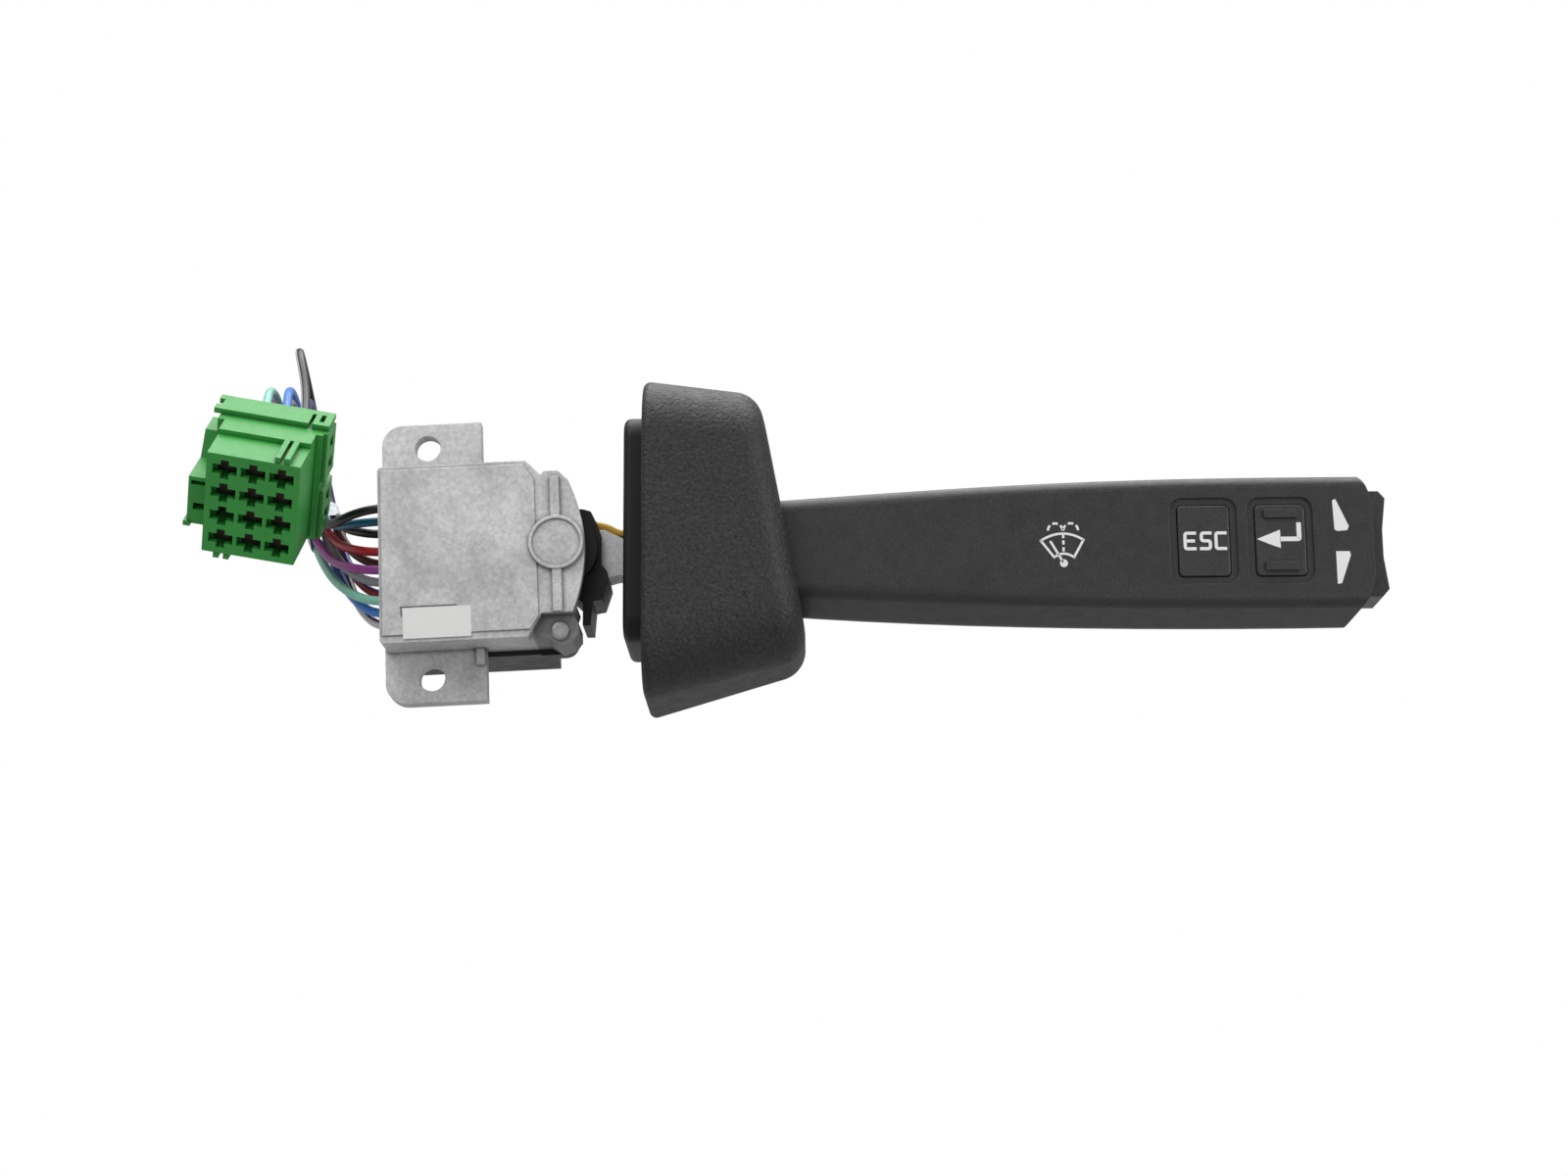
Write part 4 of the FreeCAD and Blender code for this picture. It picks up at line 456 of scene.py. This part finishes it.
class STALK_PG_wires(bpy.types.PropertyGroup):
    """The loom between the housing and the connector."""

    diameter: bpy.props.FloatProperty(
        name="Diameter",
        description="Wire over its insulation",
        default=2.0 * MM,
        unit="LENGTH",
        precision=5,
    )
    lever_diameter: bpy.props.FloatProperty(
        name="Lever wire diameter",
        description="Thin wire in the lever",
        default=1.5 * MM,
        unit="LENGTH",
        precision=5,
    )


class STALK_PG_stage(bpy.types.PropertyGroup):
    """Camera, floor and light."""

    lens: bpy.props.FloatProperty(name="Lens", description="Focal length in millimetres", default=63.45)
    light: bpy.props.FloatProperty(name="Light", description="Strength of the room's light", default=0.42)
    floor_drop: bpy.props.FloatProperty(
        name="Floor drop", description="Floor below the part's origin", default=0.36, unit="LENGTH"
    )


# Operators


class STALK_OT_stage(bpy.types.Operator):
    """Set up the camera, the pale floor and the soft studio light"""

    bl_idname = "stalk.stage"
    bl_label = "Stage"

    def execute(self, context):
        settings = context.scene.stalk_stage
        right = Vector((0.99881, 0.01099, -0.04760))
        up = Vector((0.04885, -0.22468, 0.97321))
        back = right.cross(up)
        camera = bpy.data.objects.new("camera", bpy.data.cameras.new("camera"))
        context.scene.collection.objects.link(camera)
        turn = Matrix((right, up, back)).transposed().to_4x4()
        camera.matrix_world = Matrix.Translation(Vector((75.99, -582.56, -143.06)) * MM) @ turn
        camera.data.lens = settings.lens
        camera.data.sensor_width = 36.0
        camera.data.clip_start = 0.01
        context.scene.camera = camera

        bm = bmesh.new()
        level = Matrix.Translation((0.08, 0, -settings.floor_drop))
        bmesh.ops.create_grid(bm, x_segments=1, y_segments=1, size=2.0, matrix=level)
        mesh = bpy.data.meshes.new("floor")
        bm.to_mesh(mesh)
        bm.free()
        paper = finish("floor_paper", (0.82, 0.82, 0.82), roughness=0.9, patch=0.01, patch_scale=4.0)
        mesh.materials.append(paper)
        floor = bpy.data.objects.new("floor", mesh)
        context.scene.collection.objects.link(floor)
        # The floor takes shadows but doesn't brighten the part's undersides
        floor.visible_diffuse = False
        floor.visible_glossy = False

        for name, place, target, size, power in (
            ("key_light", (-0.35, -0.75, 0.75), (0.08, 0, 0.0), 0.7, 3.8),
            ("fill_light", (0.85, -0.45, 0.10), (0.08, 0, 0.0), 0.5, 2.4),
            ("top_light", (0.12, 0.05, 0.75), (0.06, 0, 0.0), 0.9, 8.0),
            ("low_light", (0.35, -0.55, -0.20), (0.10, 0, 0.0), 0.4, 0.3),
        ):
            lamp = bpy.data.lights.new(name, "AREA")
            lamp.size = size
            lamp.energy = power
            held = bpy.data.objects.new(name, lamp)
            aim = Vector(target) - Vector(place)
            turn = aim.to_track_quat("-Z", "Y").to_matrix().to_4x4()
            held.matrix_world = Matrix.Translation(place) @ turn
            context.scene.collection.objects.link(held)

        world = bpy.data.worlds.new("room")
        context.scene.world = world
        world.use_nodes = True
        tree = world.node_tree
        room = tree.nodes["Background"]
        room.inputs["Color"].default_value = (1.0, 1.0, 1.0, 1.0)
        room.inputs["Strength"].default_value = settings.light
        seen = node(tree, "ShaderNodeBackground")
        seen.inputs["Color"].default_value = (1.0, 1.0, 1.0, 1.0)
        seen.inputs["Strength"].default_value = 1.0
        rays = node(tree, "ShaderNodeLightPath")
        chosen = node(tree, "ShaderNodeMixShader")
        tree.links.new(rays.outputs["Is Camera Ray"], chosen.inputs[0])
        tree.links.new(room.outputs[0], chosen.inputs[1])
        tree.links.new(seen.outputs[0], chosen.inputs[2])
        tree.links.new(chosen.outputs[0], tree.nodes["World Output"].inputs["Surface"])
        context.scene.view_settings.view_transform = "Standard"
        return {"FINISHED"}


class STALK_OT_node_finishes(bpy.types.Operator):
    """Give every carried-over node its finish"""

    bl_idname = "stalk.node_finishes"
    bl_label = "Node finishes"

    def execute(self, context):
        for made, names in NODE_FINISHES.items():
            for name in names:
                NODES[name].data.materials.clear()
                NODES[name].data.materials.append(made())
        for name, thing in NODES.items():
            # The terminals take copper darkened with painted shade.
            if name.startswith("terminal_"):
                thing.data.materials.clear()
                thing.data.materials.append(copper_in_shade())
        return {"FINISHED"}


# The loom. Stations between the connector and the gland: centre, step per column, step per row.
HARNESS = [
    ((-34.9, 21.3, 46.0), (4.2, 0.0, 0.0), (0.1, -0.3, 2.8)),
    ((-35.0, 34.4, 43.2), (3.9, 0.2, 0.0), (0.1, 1.7, 2.3)),
    ((-33.2, 39.2, 30.4), (3.5, 0.6, 0.0), (0.0, 2.6, 0.5)),
    ((-29.2, 34.6, 18.2), (2.7, 1.3, 0.5), (0.0, 2.4, -1.6)),
    ((-24.2, 21.6, 9.6), (1.5, 2.2, 0.4), (0.0, 1.2, -3.6)),
    ((-18.4, 10.8, 4.2), (0.6, 2.9, -1.3), (0.0, 0.2, -6.0)),
    ((-12.7, 7.2, 2.0), (0.0, 2.9, -2.3), (0.0, -0.4, -7.2)),
    ((-6.0, 7.2, 2.0), (0.0, 2.9, -2.3), (0.0, -0.4, -7.2)),
]
TALL_LIFT = [(0.0, 2.5, 4.5), (-2.5, 1.0, 11.0), (-2.5, 2.5, 7.5), (-0.8, 3.0, 1.5)]
# A wire cuts the corners of its route's straight runs
# Wire, its column and row in the connector, its colour and its stripe
WIRES = [
    ("mint", -1, 1.5, (0.27, 0.66, 0.52), None),
    ("blue", 0, 1.5, (0.06, 0.24, 0.72), None),
    ("black_tall", 1, 1.5, (0.012, 0.012, 0.014), (0.72, 0.66, 0.66)),
    ("purple", -1, 0.5, (0.34, 0.05, 0.30), None),
    ("grey", 0, 0.5, (0.36, 0.37, 0.40), None),
    ("navy", 1, 0.5, (0.012, 0.03, 0.20), (0.45, 0.03, 0.04)),
    ("red", 0, -0.5, (0.50, 0.015, 0.02), None),
    ("brown", 1, -0.5, (0.10, 0.035, 0.02), None),
    ("black_low", -1, -1.5, (0.012, 0.012, 0.014), None),
    ("teal", 0, -1.5, (0.01, 0.13, 0.22), None),
    ("black_mid", 1, -1.5, (0.012, 0.012, 0.014), None),
]


def wire_route(column, row):
    """Route points from the gland to the terminal, in metres."""
    points = [
        CONNECTOR @ (Vector((column * 6.1, 15.0, row * 5.5)) * MM),
        CONNECTOR @ (Vector((column * 4.9, 31.0, row * 4.3)) * MM),
    ]
    for centre, across, up in HARNESS:
        points.append((Vector(centre) + column * Vector(across) + row * Vector(up)) * MM)
    if (column, row) == (1, 1.5):
        for number, lift in enumerate(TALL_LIFT, start=1):
            points[number] = points[number] + Vector(lift) * MM
    return points[::-1]


def round_wire(name, points, diameter, material):
    curve = bpy.data.curves.new(name, "CURVE")
    curve.dimensions = "3D"
    curve.bevel_depth = diameter / 2
    curve.bevel_resolution = 4
    curve.resolution_u = 10
    curve.use_fill_caps = True
    spline = curve.splines.new("NURBS")
    spline.points.add(len(points) - 1)
    for spot, point in zip(spline.points, points):
        spot.co = (*point, 1.0)
    spline.order_u = 3
    spline.use_endpoint_u = True
    curve.materials.append(material)
    made = bpy.data.objects.new(name, curve)
    bpy.context.scene.collection.objects.link(made)
    return made


def insulation(name, colour, stripe):
    """Glossy insulation, with a stripe along the wire where it has one."""
    material = finish(
        "insulation_" + name, colour, roughness=0.32, patch=0.06, patch_scale=500.0, edge=0.01 * MM
    )
    if stripe:
        tree = material.node_tree
        shader = tree.nodes["Principled BSDF"]
        ground = shader.inputs["Base Color"].links[0].from_socket
        around = node(tree, "ShaderNodeSeparateXYZ")
        tree.links.new(node(tree, "ShaderNodeTexCoord").outputs["UV"], around.inputs[0])
        band = node(tree, "ShaderNodeMath", operation="COMPARE")
        band.inputs[1].default_value = 0.8
        band.inputs[2].default_value = 0.17
        tree.links.new(around.outputs["Y"], band.inputs[0])
        tree.links.new(mix(tree, band.outputs[0], ground, stripe), shader.inputs["Base Color"])
    return material


class STALK_OT_wires(bpy.types.Operator):
    """Lay the loom's wires from the gland wall to the connector"""

    bl_idname = "stalk.wires"
    bl_label = "Wires"

    def execute(self, context):
        settings = context.scene.stalk_wires
        for name, column, row, colour, stripe in WIRES:
            points = wire_route(column, row)
            cover = insulation(name, colour, stripe)
            wire = round_wire("wire_" + name + "_cord", points, settings.diameter, cover)
            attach(wire, "housing")
            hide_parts("wire_" + name)
            on_wire = [NODES["terminal_" + name]]
            if name == "grey":
                on_wire += [NODES["connector_" + part] for part in ("block", "frame", "latch")]
        return {"FINISHED"}


class STALK_OT_loom_tape(bpy.types.Operator):
    """Wrap a pale tape around the loom where it leaves the connector"""

    bl_idname = "stalk.loom_tape"
    bl_label = "Loom tape"

    def execute(self, context):
        before, here, after = HARNESS[2:5]
        weights = (0.125, 0.75, 0.125)
        near = list(zip((before, here, after), weights))
        centre, across, up = (
            sum((Vector(station[part]) * weight for station, weight in near), Vector()) for part in range(3)
        )
        along = (Vector(after[0]) - Vector(before[0])).normalized()
        wide, high = across.length, up.length * 1.5
        across, up = across.normalized(), up.normalized()
        bm = bmesh.new()
        rings = []
        for step in range(9):
            shift = along * (step - 4) * 0.7
            ring = []
            for corner, (side, lift) in enumerate(((1, 1), (-1, 1), (-1, -1), (1, -1))):
                for part in range(6):
                    angle = math.radians(corner * 90 + part * 18)
                    reach = 1.45 + 0.10 * math.sin(step * 1.7 + corner * 2.0)
                    sideways = across * (side * wide + reach * math.cos(angle))
                    upwards = up * (lift * high + reach * math.sin(angle))
                    ring.append(bm.verts.new((centre + shift + (sideways + upwards)) * MM))
            rings.append(ring)
        for first, second in zip(rings, rings[1:]):
            for number in range(len(first)):
                after_it = (number + 1) % len(first)
                bm.faces.new((first[number], first[after_it], second[after_it], second[number]))
        bmesh.ops.recalc_face_normals(bm, faces=bm.faces)
        bmesh.ops.solidify(bm, geom=bm.faces[:], thickness=0.12 * MM)
        film = finish(
            "tie_film", (0.66, 0.71, 0.78), roughness=0.3, patch=0.15, patch_scale=500.0, edge=0.02 * MM
        )
        piece("loom_tape", bm, film, "housing")
        return {"FINISHED"}


class STALK_OT_lever_wires(bpy.types.Operator):
    """Lay the two thin wires over the lever's neck"""

    bl_idname = "stalk.lever_wires"
    bl_label = "Lever wires"

    def execute(self, context):
        settings = context.scene.stalk_wires
        yellow = insulation("yellow", (0.62, 0.36, 0.02), None)
        for number, side in enumerate((-1, 1), start=1):
            offset = side * settings.lever_diameter / MM * 0.55
            route = [
                (6.0, offset, 7.3),
                (9.3, offset, 7.0),
                (12.2, offset, 5.1),
                (15.4, offset, 5.2),
                (20.0, offset, 5.1),
                (28.0, offset, 4.6),
                (42.0, offset, 4.9),
                (66.0, offset * 1.6, 5.6),
                (90.0, offset * 2.0 - 0.6, 4.4),
                (107.0, offset * 0.4 - 2.1, 1.8 + side * 1.2),
                (122.0, -2.6, 1.4 + side * 1.4),
            ]
            points = [LEVER @ (Vector(spot) * MM) for spot in route]
            wire = round_wire(f"lever_wire_{number}_cord", points, settings.lever_diameter, yellow)
            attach(wire, "lever")
            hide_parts(f"lever_wire_{number}")
        return {"FINISHED"}


class STALK_OT_handle_marks(bpy.types.Operator):
    """Paint the washer symbol and the two arrowheads on the handle"""

    bl_idname = "stalk.handle_marks"
    bl_label = "Handle marks"

    def execute(self, context):
        settings = context.scene.stalk_marks
        width = settings.stroke
        skin = skin_of("handle_front")
        bm = bmesh.new()
        # Windscreen: a wide bow, a narrow one below it and two slanted sides
        wide = ((103.1, 0.4), (107.7, 1.9), (112.2, 0.5))
        narrow = ((105.9, -3.3), (107.9, -2.5), (110.1, -3.3))
        stroke(bm, through(*wide), width)
        stroke(bm, through(*narrow), width)
        for top, low in ((wide[0], narrow[0]), (wide[2], narrow[2])):
            stroke(bm, (top, low), width)
            disc(bm, top, width / 2)
            disc(bm, low, width / 2)
        # Washer spray: a dashed stem and two dashed bows
        for low, high in ((-2.0, -1.1), (-0.5, 0.4), (0.9, 1.8), (2.5, 3.1)):
            stroke(bm, ((107.9, low), (107.9, high)), width)
        bow_radius, bow_foot = 1.55, 2.6
        for start in (104.7, 108.0):
            for first, last in ((0, 45), (68, 112), (135, 180)):
                angles = [math.radians(first + (last - first) * step / 6) for step in range(7)]
                bow = [(1 - math.cos(angle), math.sin(angle)) for angle in angles]
                stroke(bm, [(start + bow_radius * along, bow_foot + bow_radius * up) for along, up in bow], width)
        # Wiper arm and its pivot
        stroke(bm, ((107.9, -4.6), (105.1, 0.3)), width)
        disc(bm, (107.9, -4.6), 0.85)
        bmesh.ops.transform(bm, matrix=LEVER, verts=bm.verts)
        lay_on(bm, skin, settings.lift)
        piece("washer_symbol", bm, mark_paint(), "lever")
        for name, corners in (
            (
                "upper_arrowhead",
                ((165.5, 8.6), (166.2, 8.9), (168.8, 2.9), (168.4, 2.0), (166.3, 1.85), (165.7, 2.2)),
            ),
            (
                "lower_arrowhead",
                ((165.8, -2.6), (168.7, -2.6), (168.9, -3.5), (166.7, -9.6), (165.8, -9.7)),
            ),
        ):
            bm = bmesh.new()
            plate(bm, corners)
            bmesh.ops.transform(bm, matrix=LEVER, verts=bm.verts)
            lay_on(bm, skin, settings.lift)
            piece(name, bm, mark_paint(), "lever")
        return {"FINISHED"}


class STALK_OT_key_marks(bpy.types.Operator):
    """Put the letters on one key and the return arrow on the other"""

    bl_idname = "stalk.key_marks"
    bl_label = "Key marks"

    def execute(self, context):
        settings = context.scene.stalk_marks
        width = settings.letter_stroke
        top, middle, low = 2.0 - width / 2, -0.05, -2.1 + width / 2
        bm = bmesh.new()
        # Letters as one line each with rounded corners: E, its middle bar, S and C
        stroke(bm, ((136.2, top), (133.8, top), (133.8, low), (136.2, low)), width, 0.5)
        stroke(bm, ((134.0, middle), (135.9, middle)), width)
        stroke(
            bm,
            ((139.5, top), (137.3, top), (137.3, middle), (139.15, middle), (139.15, low), (136.9, low)),
            width,
            0.5,
        )
        stroke(bm, ((142.7, top), (140.4, top), (140.4, low), (142.7, low)), width, 0.5)
        bmesh.ops.transform(bm, matrix=LEVER, verts=bm.verts)
        lay_on(bm, skin_of("esc_button"), settings.lift)
        piece("esc_marking", bm, mark_paint(), "esc_key")

        bm = bmesh.new()
        head = ((149.1, 0.25), (151.6, -0.85), (154.1, -1.8), (154.1, 0.2), (154.1, 2.25), (151.6, 1.25))
        plate(bm, head)
        stroke(bm, ((154.0, 0.2), (158.1, 0.2), (158.1, 3.8)), 1.0, 0.3)
        bmesh.ops.transform(bm, matrix=LEVER, verts=bm.verts)
        lay_on(bm, skin_of("enter_button"), settings.lift)
        piece("return_arrow", bm, mark_paint(), "enter_key")
        return {"FINISHED"}


class STALK_OT_label(bpy.types.Operator):
    """Stick the blank label on the housing, with painted shadow lines along its top and left edges"""

    bl_idname = "stalk.label"
    bl_label = "Blank label"

    def execute(self, context):
        bm = bmesh.new()
        place = Matrix.Translation(Vector((2.6, -14.4, -15.6)) * MM)
        size = Matrix.Diagonal((14.4 * MM, 0.1 * MM, 6.6 * MM, 1))
        bmesh.ops.create_cube(bm, size=1.0, matrix=place @ size)
        paper = finish("label_film", (0.77, 0.77, 0.76), roughness=0.45, patch=0.02, edge=0.02 * MM)
        piece("blank_label", bm, paper, "housing")
        # Painted shadow: two thin dark bars along the label's top and left edges stand for the shade at the edge
        # of its recess.
        bm = bmesh.new()
        for across, up, wide, high in ((0.95, -12.0, 11.8, 0.22), (-4.95, -13.0, 0.22, 2.2)):
            place = Matrix.Translation(Vector((across, -14.36, up)) * MM)
            size = Matrix.Diagonal((wide * MM, 0.06 * MM, high * MM, 1))
            bmesh.ops.create_cube(bm, size=1.0, matrix=place @ size)
        groove_shade = finish("label_groove_shade", (0.05, 0.05, 0.05), roughness=0.7, edge=0.01 * MM)
        piece("label_groove_shade", bm, groove_shade, "housing")
        return {"FINISHED"}


class STALK_PT_panel(bpy.types.Panel):
    """Stalk switch steps in the sidebar"""

    bl_idname = "STALK_PT_panel"
    bl_label = "Stalk switch"
    bl_space_type = "VIEW_3D"
    bl_region_type = "UI"
    bl_category = "Stalk Switch"

    def draw(self, context):
        for operator in OPERATORS:
            self.layout.operator(operator.bl_idname)


GROUPS = (
    ("stalk_marks", STALK_PG_marks),
    ("stalk_wires", STALK_PG_wires),
    ("stalk_stage", STALK_PG_stage),
)
OPERATORS = (
    STALK_OT_stage,
    STALK_OT_wires,
    STALK_OT_loom_tape,
    STALK_OT_lever_wires,
    STALK_OT_node_finishes,
    STALK_OT_handle_marks,
    STALK_OT_key_marks,
    STALK_OT_label,
)


def register():
    for name, group in GROUPS:
        bpy.utils.register_class(group)
        setattr(bpy.types.Scene, name, bpy.props.PointerProperty(type=group))
    for operator in OPERATORS:
        bpy.utils.register_class(operator)
    bpy.utils.register_class(STALK_PT_panel)


def unregister():
    bpy.utils.unregister_class(STALK_PT_panel)
    for operator in reversed(OPERATORS):
        bpy.utils.unregister_class(operator)
    for name, group in reversed(GROUPS):
        delattr(bpy.types.Scene, name)
        bpy.utils.unregister_class(group)


def main():
    register()
    for operator in OPERATORS:
        group, name = operator.bl_idname.split(".")
        getattr(getattr(bpy.ops, group), name)()
    bpy.context.view_layer.update()


if __name__ == "__main__":
    main()
